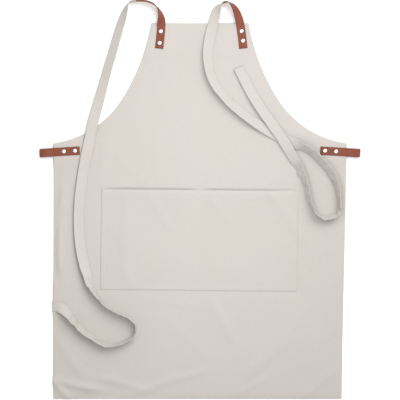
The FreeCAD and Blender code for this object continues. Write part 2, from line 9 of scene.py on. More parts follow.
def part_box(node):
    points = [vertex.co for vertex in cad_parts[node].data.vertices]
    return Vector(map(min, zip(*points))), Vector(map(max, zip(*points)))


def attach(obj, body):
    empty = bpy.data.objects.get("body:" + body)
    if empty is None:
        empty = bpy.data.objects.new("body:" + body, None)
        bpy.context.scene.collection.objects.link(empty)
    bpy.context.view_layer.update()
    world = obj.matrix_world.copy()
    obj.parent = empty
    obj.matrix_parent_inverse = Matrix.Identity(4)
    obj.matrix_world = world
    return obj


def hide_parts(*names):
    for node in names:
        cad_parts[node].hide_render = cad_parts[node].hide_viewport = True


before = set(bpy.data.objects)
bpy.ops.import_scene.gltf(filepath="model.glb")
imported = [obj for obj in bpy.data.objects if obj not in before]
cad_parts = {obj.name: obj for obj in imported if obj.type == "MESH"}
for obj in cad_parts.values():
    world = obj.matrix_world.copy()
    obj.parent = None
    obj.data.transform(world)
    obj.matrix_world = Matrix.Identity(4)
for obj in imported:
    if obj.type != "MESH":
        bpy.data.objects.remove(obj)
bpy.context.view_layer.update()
scene = bpy.context.scene
body = "root"
noise.seed_set(5)  # so that every run gives the same cloth

# the places that everything else hangs on, read from the frame
panelLow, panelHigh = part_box("apron_panel")
bibTop = panelHigh.y
footEdge = panelLow.y
waistHalf = panelHigh.x
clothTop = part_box("bib_hem_stitching")[0].z
pocketLow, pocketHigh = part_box("pocket_panel")
print("frame loaded:", len(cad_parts), "nodes")


# camera, light and floor
studio = {
    "cameraHeight": 2.6,
    "viewWidth": 0.96,  # what the camera takes in at the cloth
    "sensor": 36.0,
    "aim": (0.0, -0.00115),
    "lamps": [  # name, place, aim, sides and power
        ("keyLight", (1.30, 1.70, 2.50), (0.0, 0.0, 0.0), (2.0, 2.0), 64.0),
        ("topLight", (-0.01, 0.12, 0.75), (-0.01, 0.12, 0.0), (0.3, 1.1), 3.3),
    ],
    "skyStrength": 0.64,
    "floorSize": 12.0,
    "floorColour": (0.985, 0.985, 0.985, 1.0),
    "floorRoughness": 0.9,
    "floorShine": 0.1,
    "farthest": 50.0,
}


def link(piece):
    scene.collection.objects.link(piece)
    return piece


def makeStudio(look):
    camera = link(bpy.data.objects.new("overheadCamera", bpy.data.cameras.new("overheadCamera")))
    camera.location = (*look["aim"], look["cameraHeight"] + clothTop)
    camera.data.sensor_width = look["sensor"]
    camera.data.lens = look["sensor"] * look["cameraHeight"] / look["viewWidth"]
    camera.data.clip_end = look["farthest"]
    scene.camera = camera

    for name, place, aim, sides, power in look["lamps"]:
        lamp = bpy.data.lights.new(name, "AREA")
        lamp.shape = "RECTANGLE"
        lamp.size, lamp.size_y = sides
        lamp.energy = power
        holder = link(bpy.data.objects.new(name, lamp))
        holder.location = place
        holder.rotation_euler = (Vector(aim) - Vector(place)).to_track_quat("-Z", "Y").to_euler()
        holder.visible_camera = False

    world = bpy.data.worlds.new("paleRoom")
    scene.world = world
    world.use_nodes = True
    sky = world.node_tree.nodes["Background"]
    sky.inputs["Color"].default_value = (1.0, 1.0, 1.0, 1.0)
    sky.inputs["Strength"].default_value = look["skyStrength"]

    half = look["floorSize"] / 2
    floorMesh = bpy.data.meshes.new("floor")
    corners = [(-half, -half, 0), (half, -half, 0), (half, half, 0), (-half, half, 0)]
    floorMesh.from_pydata(corners, [], [(0, 1, 2, 3)])
    floor = link(bpy.data.objects.new("floor", floorMesh))
    paint = bpy.data.materials.new("paleFloor")
    paint.use_nodes = True
    shader = paint.node_tree.nodes["Principled BSDF"]
    shader.inputs["Base Color"].default_value = look["floorColour"]
    shader.inputs["Roughness"].default_value = look["floorRoughness"]
    shader.inputs["Specular IOR Level"].default_value = look["floorShine"]
    floorMesh.materials.append(paint)
    scene.view_settings.view_transform = "Standard"


makeStudio(studio)
print("studio ready")


# the two neck straps: flat cords of folded canvas
# each point is across and up from the bib's corner on its side, its rise above leather lying on
# the cloth, and the roll: how far the right edge dips when walking along, 90 standing on edge
bibHalf = 0.116
leatherThickness = 0.0018
strap = {
    "width": 0.025,
    "thickness": 0.0016,
    "edge": 0.0007,
    "clear": 0.0002,  # kept between a strap and the cloth that it rests on
    "perPoint": 14,
    "wrapFrom": -0.310,  # from here to wrapTo it shifts to where the cloth's edge really lies
    "wrapTo": -0.340,
    "kinkScale": 34,
    "fineKinkScale": 80,
    "kinkRoll": 0.20,
    "kinkShift": 0.0022,
    "deepest": 0.001,
    "evened": 0.84,  # the share of the strap whose heights are evened out, up to the wrap
    "evenedOver": 9,
    "floorGap": 0.0001,
    "waves": (22, 30, 0.0006),  # scales along and across the strap, and height
    "fineWaves": (90, 60, 0.00016),
    "folds": (62, 25, 18),  # scales along, aslant and across
    "foldRise": 0.0010,
    "foldDepth": 0.0042,
}
leftStrapRoute = [
    (-0.037, 0.052, 0.0067, 90),
    (-0.047, 0.0515, 0.0067, 90),
    (-0.056, 0.047, 0.0067, 82),
    (-0.0615, 0.034, 0.006, 60),
    (-0.069, 0.012, 0.0041, 38),
    (-0.0795, -0.02, 0.003, 30),
    (-0.091, -0.062, 0.0027, 28),
    (-0.105, -0.108, 0.0029, 26),
    (-0.118, -0.158, 0.0036, 18),
    (-0.13, -0.202, 0.004, 4),
    (-0.14, -0.238, 0.0028, -6),
    (-0.149, -0.28, 0.002, -8),
    (-0.159, -0.328, 0.0024, -10),
    (-0.168, -0.38, 0.0027, -11),
    (-0.174, -0.436, 0.0029, -12),
    (-0.175, -0.49, 0.0033, -14),
    (-0.17, -0.544, 0.0042, -18),
    (-0.159, -0.592, 0.0066, -30),
    (-0.145, -0.632, 0.0111, -60),
    (-0.127, -0.662, 0.0124, -86),
    (-0.105, -0.684, 0.0124, -92),
    (-0.08, -0.696, 0.0124, -90),
    (-0.062, -0.703, 0.0124, -90),
    (-0.048, -0.71, 0.0124, -90),
    (-0.038, -0.721, 0.0124, -90),
    (-0.037, -0.737, 0.0124, -90),
    (-0.044, -0.752, 0.0124, -92),
    (-0.07, -0.767, 0.0124, -97),
    (-0.101, -0.776, 0.0122, -103),
    (-0.127, -0.765, 0.0122, -104),
    (-0.15, -0.748, 0.0122, -104),
    (-0.172, -0.732, 0.0122, -105),
    (-0.191, -0.709, 0.0116, -114),
    (-0.206, -0.689, 0.0077, -144),
    (-0.22, -0.68, 0.0009, -180),
    (-0.2332, -0.68, 0.0003, -180),
    (-0.2332, -0.68, -0.0047, -180),
    (-0.22, -0.68, -0.0048, -180),
    (-0.205, -0.676, -0.0048, -180),
    (-0.187, -0.665, -0.0048, -180),
    (-0.167, -0.649, -0.0048, -180),
]
rightStrapRoute = [
    (-0.061, 0.0475, 0.0067, 90),
    (-0.067, 0.045, 0.0067, 84),
    (-0.073, 0.038, 0.0059, 56),
    (-0.0775, 0.026, 0.0042, 28),
    (-0.081, 0.012, 0.0028, 12),
    (-0.0858, -0.008, 0.0018, 2),
    (-0.0925, -0.034, 0.0025, -8),
    (-0.098, -0.068, 0.0041, -18),
    (-0.096, -0.106, 0.0061, -28),
    (-0.084, -0.142, 0.0065, -30),
    (-0.062, -0.174, 0.0068, -32),
    (-0.032, -0.204, 0.0064, -30),
    (0.004, -0.231, 0.0058, -26),
    (0.038, -0.253, 0.0027, -11),
    (0.074, -0.273, 0.0003, 0),
    (0.104, -0.287, 0.0011, 4),
    (0.13, -0.2985, 0.0087, 42),
    (0.156, -0.315, 0.0101, 52),
    (0.181, -0.336, 0.0101, 52),
    (0.201, -0.365, 0.0104, 54),
    (0.2135, -0.397, 0.0114, 64),
    (0.2185, -0.424, 0.0121, 74),
    (0.2185, -0.445, 0.0123, 80),
    (0.212, -0.461, 0.0121, 74),
    (0.1945, -0.4645, 0.0113, 62),
    (0.1765, -0.4665, 0.0116, 66),
    (0.16, -0.4585, 0.0124, 88),
    (0.149, -0.44, 0.012, 108),
    (0.141, -0.412, 0.0116, 114),
    (0.1365, -0.381, 0.0114, 116),
    (0.1265, -0.354, 0.0104, 126),
    (0.107, -0.323, 0.0072, 150),
    (0.083, -0.28, 0.0048, 178),
    (0.054, -0.239, 0.0052, 189),
    (0.026, -0.2, 0.0042, 190),
    (0, -0.156, 0.0023, 188),
    (-0.024, -0.106, 0.0014, 185),
]


def smooth(low, high, value):
    share = min(max((value - low) / (high - low), 0.0), 1.0)
    return share * share * (3 - 2 * share)


def readSpline(points, perPoint):
    # the smooth line that the points pull on, read back as a row of places
    curve = bpy.data.curves.new("route", "CURVE")
    curve.dimensions = "3D"
    curve.resolution_u = perPoint
    spline = curve.splines.new("NURBS")
    spline.points.add(len(points) - 1)
    for knot, place in zip(spline.points, points):
        knot.co = (*place, 1.0)
    spline.order_u = 3
    spline.use_endpoint_u = True
    holder = link(bpy.data.objects.new("route", curve))
    mesh = bpy.data.meshes.new_from_object(holder)
    line = np.array([v.co for v in mesh.vertices])
    bpy.data.objects.remove(holder)
    bpy.data.curves.remove(curve)
    bpy.data.meshes.remove(mesh)
    return line


def readRoute(route, side, perPoint):
    # the route's line in the frame, and the roll along it
    flat = clothTop + leatherThickness / 2
    places = [(side * bibHalf + x, bibTop + y, flat + rise) for x, y, rise, _ in route]
    rolls = [(math.radians(roll), 0.0, 0.0) for _, _, _, roll in route]
    return readSpline(places, perPoint), readSpline(rolls, perPoint)[:, 0]


def crumple(line, turn):
    # the strap goes round the cloth's edge where that lies, and kinks where it stands on edge
    for place in line:
        place[0] += lean(place[1]) * smooth(strap["wrapFrom"], strap["wrapTo"], place[0])
    for i, loose in enumerate(looseness(line, turn)):
        kink = noise.noise_vector(Vector(line[i]) * strap["kinkScale"])
        kink += 0.5 * noise.noise_vector(Vector(line[i]) * strap["fineKinkScale"])
        turn[i] += loose * strap["kinkRoll"] * kink.z
        line[i, :2] += loose * strap["kinkShift"] * np.array(kink)[:2]


def looseness(line, turn):
    # 1 along the stretches on the apron that stand on edge, 0 where the strap lies flat
    below = bibTop - 0.1
    return [smooth(0.3, 0.7, abs(math.sin(t))) * (y < below) for (_, y, _), t in zip(line, turn)]


# the apron's cloth: its cut, and the soft relief it lies in
cloth = {
    "thickness": 0.0008,
    "armholeDrop": 0.289,
    "jointOut": 0.0697,  # where an armhole's two arcs meet, from the bib's corner
    "jointDrop": 0.1817,
    "armholeRadius": 0.510,
    "sideTaper": 0.006,
    "footLean": -0.0058,  # the skirt's foot lies a little to one side
    "sideHem": 0.014,
    "footHem": 0.024,
    "bibHem": 0.030,
    "facing": 0.013,
    "footFlat": 0.070,
    "footSlope": 0.080,
    "cell": 0.0052,
    "sag": 0.0016,
    "deepest": 0.0026,
    "highest": 0.0024,
    "spread": 1.005,
    "footPast": 0.0018,
    "droop": 0.0012,  # how far the free edges hang, over this much of the cloth
    "droopReach": 0.030,
    "inner": 126,  # columns of faces between the side hems
    "floorGap": 0.00004,
    "edgeEase": (0.0005, 0.0012),  # how deep and how wide its edges are eased
    "edgeStep": 0.0006,  # the first row of points from an edge
    "foldStep": 0.0007,  # and on each side of a fold
    "mouthStep": 0.0008,  # the rows about the pocket's mouth
    "nearest": 0.00045,
    "heldOver": (0.003, 0.032),  # it comes free over this distance from where it's held up
    "humpLift": 0.0006,
    "humpShare": 1.3,
}
swelling = {
    "wanderScale": 9,
    "wander": 0.009,
    "slowScale": 6.5,
    "slow": 0.0009,
    "fineScale": 24,
    "fine": 0.00030,
    "creased": 1.25,  # the creases' heights are raised by this
    "reach": 3,  # how many of its half widths a crease reaches out to
    "starts": (-0.35, 0.2),  # where a crease rises and fades, in shares of its length
    "stops": (0.8, 1.35),
}
# soft creases: start, end, half width and height, in metres
creases = [
    ((-0.228, 0.15), (-0.23, 0.04), 0.011, 0.0013),
    ((-0.173, -0.028), (-0.174, -0.16), 0.009, 0.0015),
    ((-0.174, -0.16), (-0.154, -0.205), 0.008, 0.0012),
    ((-0.12, 0.012), (-0.066, -0.07), 0.011, 0.0008),
    ((0.163, 0.018), (0.246, -0.09), 0.013, 0.0016),
    ((0.036, -0.242), (0.084, -0.335), 0.011, 0.0013),
    ((0.242, -0.28), (0.124, -0.416), 0.011, 0.0013),
    ((0.22, -0.12), (0.27, -0.224), 0.012, 0.0009),
    ((0.002, -0.412), (-0.15, -0.46), 0.009, 0.0014),
    ((-0.322, 0.03), (-0.322, -0.22), 0.009, 0.0018),
    ((-0.331, -0.06), (-0.33, -0.17), 0.008, 0.003),
    ((-0.3, 0.06), (-0.336, -0.03), 0.007, 0.0018),
    ((-0.34, -0.436), (-0.238, -0.455), 0.008, 0.0024),
    ((-0.24, -0.428), (-0.13, -0.452), 0.009, 0.0012),
    ((-0.332, -0.34), (-0.272, -0.416), 0.011, 0.001),
    ((-0.342, -0.44), (-0.312, -0.478), 0.008, 0.002),
    ((-0.198, 0.096), (-0.142, 0.05), 0.013, 0.0008),
    ((-0.103, 0.15), (-0.102, 0.056), 0.01, 0.0005),
    ((0.134, -0.418), (0.218, -0.336), 0.008, 0.0008),
    ((-0.266, -0.452), (-0.21, -0.428), 0.01, 0.001),
    ((0.094, -0.464), (0.152, -0.432), 0.008, 0.001),
    ((0.262, -0.47), (0.326, -0.42), 0.01, 0.0012),
    ((0.306, -0.35), (0.332, -0.312), 0.007, 0.001),
    ((-0.144, -0.24), (-0.022, -0.254), 0.009, 0.0005),
    ((0.034, 0.002), (0.078, -0.08), 0.01, 0.0006),
    ((0.192, 0.174), (0.284, 0.138), 0.009, 0.001),
    ((-0.06, -0.3), (0.02, -0.372), 0.014, 0.0006),
    ((0.3, -0.18), (0.322, -0.3), 0.01, 0.0008),
]


def armholeArcs(cut):
    # both arcs of the right armhole: centre and radius, the lower one tangent to the upper
    top = Vector((bibHalf, bibTop))
    joint = top + Vector((cut["jointOut"], -cut["jointDrop"]))
    end = Vector((waistHalf, bibTop - cut["armholeDrop"]))
    chord = joint - top
    inward = Vector((-chord.y, chord.x)).normalized()
    reach = math.sqrt(cut["armholeRadius"] ** 2 - (chord.length / 2) ** 2)
    upper = (top + joint) / 2 + inward * reach
    spoke = (upper - joint) / cut["armholeRadius"]
    lowerRadius = (end - joint).length_squared / (2 * (end - joint).dot(spoke))
    lower = joint + spoke * lowerRadius
    return top, joint, end, (upper, cut["armholeRadius"]), (lower, lowerRadius)


bibCorner, armholeJoint, armholeEnd, upperArc, lowerArc = armholeArcs(cloth)


def armholeAngles(count):
    # each arc of the right armhole, from the bib down, with the angles along it
    for arc, start, end in ((upperArc, bibCorner, armholeJoint), (lowerArc, armholeJoint, armholeEnd)):
        centre, radius = arc
        first = math.atan2(start.y - centre.y, start.x - centre.x) % (2 * math.pi)
        last = math.atan2(end.y - centre.y, end.x - centre.x) % (2 * math.pi)
        steps = count or round(abs(last - first) * radius / cloth["cell"])
        yield centre, radius, [first + (last - first) * i / steps for i in range(steps + 1)]


def halfWidth(y):
    # half the cloth's width, straight skirt and armholes alike
    if y <= armholeEnd.y:
        return waistHalf - cloth["sideTaper"] * (armholeEnd.y - y) / (armholeEnd.y - footEdge)
    centre, radius = upperArc if y > armholeJoint.y else lowerArc
    return centre.x - math.sqrt(max(radius**2 - (y - centre.y) ** 2, 0.0))


def footShare(y):
    rise = footEdge + cloth["footFlat"]
    return 1.0 - smooth(rise, rise + cloth["footSlope"], y)


def lean(y):
    return cloth["footLean"] * smooth(armholeEnd.y, footEdge, y)


def laid(x, y):
    # where a place on the flat cloth comes to lie: the skirt spreads a little and leans aside
    return cloth["spread"] * x + lean(y), y - cloth["footPast"] * footShare(y)


def pinnedZones():
    # where the cloth is held up at full height: under riveted leather and over the strap's tail
    tailX, tailY, _, _ = leftStrapRoute[-1]
    wrapX, wrapY, _, _ = leftStrapRoute[-6]
    beside = 0.014
    zones = [(-bibHalf + wrapX, bibTop + wrapY - beside, -bibHalf + tailX, bibTop + tailY + beside)]
    for name in ("left_neck_leather", "right_neck_leather", "left_side_loop", "right_side_loop"):
        low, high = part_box(name)
        zones.append((low.x, low.y, high.x, min(high.y, bibTop)))
    return zones


pinned = pinnedZones()


def freedom(x, y):
    # 0 where the cloth is held up, 1 well away from there
    share = 1.0
    for lowX, lowY, highX, highY in pinned:
        gap = math.hypot(max(lowX - x, 0, x - highX), max(lowY - y, 0, y - highY))
        share = min(share, smooth(*cloth["heldOver"], gap))
    return share


def relief(x, y):
    # creases and a slow swell, about zero on average
    wide = swelling["wanderScale"]
    slow = swelling["slowScale"]
    fine = swelling["fineScale"]
    shift = noise.noise_vector(Vector((x * wide, y * wide, 3.1)))
    wx = x + swelling["wander"] * shift.x
    wy = y + swelling["wander"] * shift.y
    total = swelling["slow"] * noise.noise(Vector((x * slow, y * slow, 0.4)))
    total += swelling["fine"] * noise.noise(Vector((x * fine, y * fine, 7.7)))
    for (ax, ay), (bx, by), width, height in creases:
        runX = bx - ax
        runY = by - ay
        share = ((wx - ax) * runX + (wy - ay) * runY) / (runX * runX + runY * runY)
        if -0.5 < share < 1.5:
            across = abs((wx - ax) * runY - (wy - ay) * runX) / math.hypot(runX, runY)
            if across < swelling["reach"] * width:
                ends = smooth(*swelling["starts"], share) * (1 - smooth(*swelling["stops"], share))
                total += swelling["creased"] * height * ends * math.exp(-((across / width) ** 2))
    return total


def edgeGap(x, y):
    # how far a place lies inside the cloth's side edge
    return halfWidth(y) - abs(x)


def clothDip(x, y):
    # how far the cloth lies below the height of the fittings; less than nothing at the foot
    swell = relief(x, y)
    droop = cloth["droop"] * (1 - smooth(0.0, cloth["droopReach"], edgeGap(x, y)))
    room = cloth["deepest"]
    dip = room / 2 * (1 + math.tanh(2 * (cloth["sag"] + droop - swell) / room - 1))
    dip -= max(swell - cloth["highest"], 0.0)
    foot = footShare(y)
    hump = max(swell + cloth["humpLift"], 0.0) * (1 - 0.5 * smooth(footEdge + 0.012, footEdge, y))
    return dip * (1 - foot) * freedom(x, y) - cloth["humpShare"] * hump * foot


# how the pocket lies: the dark line along its mouth, and the cloth that it presses down
mouthLine = {"above": 0.0006, "width": 0.0030, "depth": 0.0019, "split": 0.012, "ends": (0.216, 0.233)}
pocketTilt = {"fall": -0.0045, "from": -0.5, "to": 1.5}  # its right side sits lower than its left
pressed = {"depth": 0.0007, "more": 0.0004, "moreBy": 0.20, "inside": -0.004, "past": 0.006, "slope": 9}
tiltEnds = [smooth(pocketTilt["from"], pocketTilt["to"], across) for across in (0.0, 1.0)]
tiltRange = tiltEnds[1] - tiltEnds[0]


def tilted(x):
    across = (x - pocketLow.x) / (pocketHigh.x - pocketLow.x)
    return pocketTilt["fall"] * smooth(pocketTilt["from"], pocketTilt["to"], across) / tiltRange


def pocketBed(x, y):
    # the cloth lies a little lower under the pocket, easing up past the pocket's seams
    y -= tilted(x)
    out = max(pocketLow.x - x, x - pocketHigh.x, pocketLow.y - y, y - pocketHigh.y)
    depth = pressed["depth"] + pressed["more"] * smooth(0.0, pressed["moreBy"], x)
    reach = pressed["past"] + pressed["slope"] * depth
    return depth * (1 - smooth(pressed["inside"], reach, out))


def clothHeight(x, y):
    # the height of the cloth's upper face
    foot = footShare(y)
    level = clothTop * (1 - foot) + (3 * cloth["thickness"]) * foot
    past = y - tilted(x) - pocketHigh.y - mouthLine["above"]
    mouth = math.exp(-((past / mouthLine["width"]) ** 2))
    split = 1 - math.exp(-((x / mouthLine["split"]) ** 2))
    ends = 1 - smooth(*mouthLine["ends"], abs(x))
    groove = mouthLine["depth"] * mouth * split * ends
    return level - clothDip(x, y) - groove - pocketBed(x, y)


def hemShare(x, y):
    # 1 where the cloth is turned under at the sides, foot and bib
    within = 0.0004
    if y < armholeEnd.y and edgeGap(x, y) < cloth["sideHem"] + within:
        return 1.0
    if y < footEdge + cloth["footHem"] + within or y > bibTop - cloth["bibHem"] - within:
        return 1.0
    return 0.0


# materials
def feed(tree, node, **values):
    # sets or links a node's inputs, by name or by number: input0, input1
    for name, value in values.items():
        number = name.removeprefix("input")
        socket = node.inputs[int(number)] if number.isdigit() else node.inputs[name.replace("_", " ")]
        if isinstance(value, bpy.types.NodeSocket):
            tree.links.new(value, socket)
        else:
            socket.default_value = value


def addNode(tree, kind, settings=(), **values):
    made = tree.nodes.new(kind)
    for name, value in dict(settings).items():
        setattr(made, name, value)
    feed(tree, made, **values)
    return made


def math2(tree, operation, first, second=0.0):
    return addNode(tree, "ShaderNodeMath", {"operation": operation}, input0=first, input1=second).outputs[0]


def vectors2(tree, operation, first, **values):
    made = addNode(tree, "ShaderNodeVectorMath", {"operation": operation}, input0=first, **values)
    return made.outputs[0]


def mixValue(tree, share, first, second):
    return addNode(tree, "ShaderNodeMix", input0=share, input2=first, input3=second).outputs[0]


def mixColour(tree, share, first, second, blend="MIX"):
    settings = {"data_type": "RGBA", "blend_type": blend}
    return addNode(tree, "ShaderNodeMix", settings, input0=share, input6=first, input7=second).outputs[2]


def spread(tree, value, low, high, fromLow=0.0, fromHigh=1.0):
    ends = {"From_Min": fromLow, "From_Max": fromHigh, "To_Min": low, "To_Max": high}
    return addNode(tree, "ShaderNodeMapRange", Value=value, **ends).outputs[0]


def clouds(tree, places, scale, detail, output="Fac", **values):
    made = addNode(tree, "ShaderNodeTexNoise", Vector=places, Scale=scale, Detail=detail, **values)
    return made.outputs[output]


def streaks(tree, places, scaleX, scaleY, scale):
    # noise drawn out along one direction
    stretched = vectors2(tree, "MULTIPLY", places, input1=(scaleX, scaleY, scaleX))
    return clouds(tree, stretched, scale, 3.0)


def emboss(tree, shader, height, strength, distance):
    bump = addNode(tree, "ShaderNodeBump", Strength=strength, Distance=distance, Height=height)
    feed(tree, shader, Normal=bump.outputs[0])


def startMaterial(name, mapName=None):
    material = bpy.data.materials.new(name)
    material.use_nodes = True
    tree = material.node_tree
    if mapName:
        places = addNode(tree, "ShaderNodeUVMap", {"uv_map": mapName}).outputs[0]
    else:
        places = addNode(tree, "ShaderNodeTexCoord").outputs["Object"]
    return material, tree, tree.nodes["Principled BSDF"], places


def clothMaterial(name, look, mapName=None):
    # plain-woven cotton: two sets of threads over and under each other, with slubs and flecks, and painted
    # shade in the gaps between the threads
    material, tree, shader, places = startMaterial(name, mapName)
    wander = clouds(tree, places, look["wanderScale"], 2.0, "Color")
    offset = vectors2(tree, "SCALE", wander, Scale=look["wander"])
    moved = vectors2(tree, "ADD", places, input1=offset)
    threads = vectors2(tree, "SCALE", moved, Scale=1 / look["pitch"])
    parts = addNode(tree, "ShaderNodeSeparateXYZ", input0=threads).outputs
    waves = []
    for axis in (0, 1):
        turn = math2(tree, "MULTIPLY", parts[axis], math.pi)
        waves.append(math2(tree, "ABSOLUTE", math2(tree, "SINE", turn)))
    flat = addNode(tree, "ShaderNodeCombineXYZ", X=parts[0], Y=parts[1], Z=0.5).outputs[0]
    over = addNode(tree, "ShaderNodeTexChecker", Vector=flat, Scale=1.0).outputs["Fac"]
    warp = math2(tree, "MULTIPLY", waves[0], math2(tree, "POWER", waves[1], look["roundness"]))
    weft = math2(tree, "MULTIPLY", waves[1], math2(tree, "POWER", waves[0], look["roundness"]))
    lump = mixValue(tree, over, warp, weft)

    warpTone = streaks(tree, places, 1.0, look["slub"], look["toneScale"])
    weftTone = streaks(tree, places, look["slub"], 1.0, look["toneScale"])
    tone = mixValue(tree, over, warpTone, weftTone)
    broad = clouds(tree, places, look["broadScale"], 4.0)
    specks = spread(tree, clouds(tree, places, look["fleckScale"], 1.0), 0.0, 1.0, *look["fleckRange"])

    colour = mixColour(tree, spread(tree, tone, 0.0, 1.0, 0.3, 0.7), look["dark"], look["light"])
    colour = mixColour(tree, spread(tree, broad, 0.0, look["broadShare"], 0.35, 0.7), colour, look["warm"])
    colour = mixColour(tree, specks, colour, look["fleck"])
    # painted shade: the colour is darkened where the threads dip, in the gaps between them
    depth = spread(tree, lump, look["gapShade"], 1.0)
    shade = addNode(tree, "ShaderNodeCombineColor", Red=depth, Green=depth, Blue=depth).outputs[0]
    feed(
        tree,
        shader,
        Base_Color=mixColour(tree, 1.0, colour, shade, "MULTIPLY"),
        Roughness=spread(tree, tone, 0.82, 0.97),
        Sheen_Weight=look["sheen"],
        Sheen_Roughness=0.5,
        Specular_IOR_Level=look["shine"],
    )
    fuzz = math2(tree, "MULTIPLY", clouds(tree, places, look["fuzzScale"], 3.0), look["fuzz"])
    height = math2(tree, "MULTIPLY", lump, spread(tree, tone, 0.7, 1.2))
    emboss(tree, shader, math2(tree, "ADD", height, fuzz), look["bump"], 0.00022)
    return material


def leatherMaterial(name, look):
    # tanned leather: fine pebbled grain, mottled colour, dark cut edges and a pale flesh side
    material, tree, shader, places = startMaterial(name, "strip")
    pebbles = {"Vector": places, "Scale": look["grainScale"], "Smoothness": 0.6}
    grain = addNode(tree, "ShaderNodeTexVoronoi", {"feature": "SMOOTH_F1"}, **pebbles).outputs["Distance"]
    mottle = clouds(tree, places, look["mottleScale"], 5.0)
    fine = clouds(tree, places, look["fineScale"], 3.0)
    cut = addNode(tree, "ShaderNodeAttribute", {"attribute_name": "cutEdge"}).outputs["Fac"]
    flesh = addNode(tree, "ShaderNodeAttribute", {"attribute_name": "fleshSide"}).outputs["Fac"]
    colour = mixColour(tree, spread(tree, mottle, 0.0, 1.0, 0.3, 0.72), look["dark"], look["light"])
    colour = mixColour(tree, spread(tree, grain, 0.0, 0.35, 0.25, 0.75), colour, look["pore"])
    colour = mixColour(tree, flesh, colour, mixColour(tree, fine, look["flesh"], look["light"]))
    colour = mixColour(tree, spread(tree, cut, 0.0, 0.75, 0.35, 1.0), colour, look["edge"])
    rough = spread(tree, grain, look["rough"], look["rough"] + 0.16)
    rough = math2(tree, "ADD", rough, math2(tree, "MULTIPLY", flesh, 0.35))
    feed(tree, shader, Base_Color=colour, Roughness=rough, Specular_IOR_Level=look["shine"])
    height = math2(tree, "ADD", math2(tree, "MULTIPLY", grain, -1.0), math2(tree, "MULTIPLY", fine, 0.3))
    emboss(tree, shader, height, 0.45, 0.00015)
    return material


def nickelMaterial(name, look):
    # bright nickel plate with fine handling scratches
    material, tree, shader, places = startMaterial(name)
    cloudy = clouds(tree, places, look["cloudScale"], 4.0)
    colour = mixColour(tree, cloudy, look["dark"], look["light"])
    feed(tree, shader, Base_Color=colour, Metallic=1.0, Roughness=spread(tree, cloudy, 0.34, 0.50, 0.3, 0.7))
    emboss(tree, shader, streaks(tree, places, 1.0, 0.06, look["scratchScale"]), 0.12, 0.00005)
    return material


def threadMaterial(name, look):
    # cotton sewing thread, its fibres showing as fine streaks
    material, tree, shader, places = startMaterial(name)
    fibres = clouds(tree, places, look["fibreScale"], 2.0, Distortion=1.2)
    colour = mixColour(tree, fibres, look["dark"], look["light"])
    feed(tree, shader, Base_Color=colour, Roughness=spread(tree, fibres, 0.6, 0.8), Sheen_Weight=0.15)
    emboss(tree, shader, fibres, 0.5, 0.00008)
    return material


canvasLook = {
    "pitch": 0.00062,
    "roundness": 0.4,
    "wander": 0.00022,
    "wanderScale": 260.0,
    "slub": 0.03,
    "toneScale": 1300.0,
    "fuzz": 0.35,
    "fuzzScale": 3200.0,
    "fleckScale": 520.0,
    "fleckRange": (0.745, 0.79),
    "shine": 0.25,
    "light": (0.547, 0.514, 0.483, 1.0),
    "dark": (0.509, 0.475, 0.443, 1.0),
    "warm": (0.522, 0.484, 0.444, 1.0),
    "fleck": (0.360, 0.270, 0.190, 1.0),
    "broadScale": 5.5,
    "broadShare": 0.55,
    # how dark the painted shade in the weave's gaps is
    "gapShade": 0.93,
    "sheen": 0.10,
    "bump": 0.35,
}
strapLook = dict(canvasLook, pitch=0.00055, broadScale=22.0)
leatherLook = {
    "light": (0.245, 0.072, 0.040, 1.0),
    "dark": (0.180, 0.047, 0.025, 1.0),
    "pore": (0.130, 0.034, 0.018, 1.0),
    "edge": (0.060, 0.018, 0.011, 1.0),
    "flesh": (0.420, 0.250, 0.150, 1.0),
    "grainScale": 1150.0,
    "mottleScale": 70.0,
    "fineScale": 2600.0,
    "rough": 0.52,
    "shine": 0.28,
}
nickelLook = {
    "light": (0.98, 0.98, 0.98, 1.0),
    "dark": (0.93, 0.93, 0.93, 1.0),
    "cloudScale": 420.0,
    "scratchScale": 5200.0,
}
threadLook = {
    "light": (0.620, 0.585, 0.550, 1.0),
    "dark": (0.560, 0.520, 0.480, 1.0),
    "fibreScale": 4200.0,
}
canvas = clothMaterial("naturalCanvas", canvasLook)
strapCanvas = clothMaterial("strapCanvas", strapLook, "strip")
leather = leatherMaterial("cognacLeather", leatherLook)
nickel = nickelMaterial("brightNickel", nickelLook)
thread = threadMaterial("cottonThread", threadLook)
print("materials ready")


def makePiece(name, mesh, material, nodes=()):
    # the finished piece, riding on the apron's one body
    if material:
        mesh.materials.clear()
        mesh.materials.append(material)
    mesh.shade_smooth()
    piece = link(bpy.data.objects.new(name, mesh))
    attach(piece, body)
    if nodes:
        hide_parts(*nodes)
    return piece


def ribbonFrames(line, rolls):
    # at each place the strip's across and through directions, the right hand carried on
    headings = np.gradient(line, axis=0)
    headings /= np.linalg.norm(headings, axis=1)[:, None]
    rights = []
    for heading in headings:
        right = np.cross(heading, (0.0, 0.0, 1.0))
        if np.linalg.norm(right) < 0.35 and rights:
            right = rights[-1] - heading * rights[-1].dot(heading)
        right /= np.linalg.norm(right)
        if rights and right.dot(rights[-1]) < 0:
            right = -right
        rights.append(right)
    rights = np.array(rights)
    ups = np.cross(rights, headings)
    cosines = np.cos(rolls)[:, None]
    sines = np.sin(rolls)[:, None]
    return headings, rights * cosines - ups * sines, ups * cosines + rights * sines


def stripSection(width, thickness, edge, spans):
    # a flat strip's outline, its edges eased by the given amount: across, through and share of edge
    half = width / 2
    thick = thickness / 2
    inner = [-half + edge + (width - 2 * edge) * i / spans for i in range(spans + 1)]
    upper = [(a, thick, 0.0) for a in inner]
    lower = [(a, -thick, 0.0) for a in reversed(inner)]
    bend = [(edge * 0.7, thick * 0.8), (edge, 0.0), (edge * 0.7, -thick * 0.8)]
    rightEdge = [(half - edge + out, through, 1.0) for out, through in bend]
    leftEdge = [(-half + edge - out, through, 1.0) for out, through in reversed(bend)]
    return upper + rightEdge + lower + leftEdge


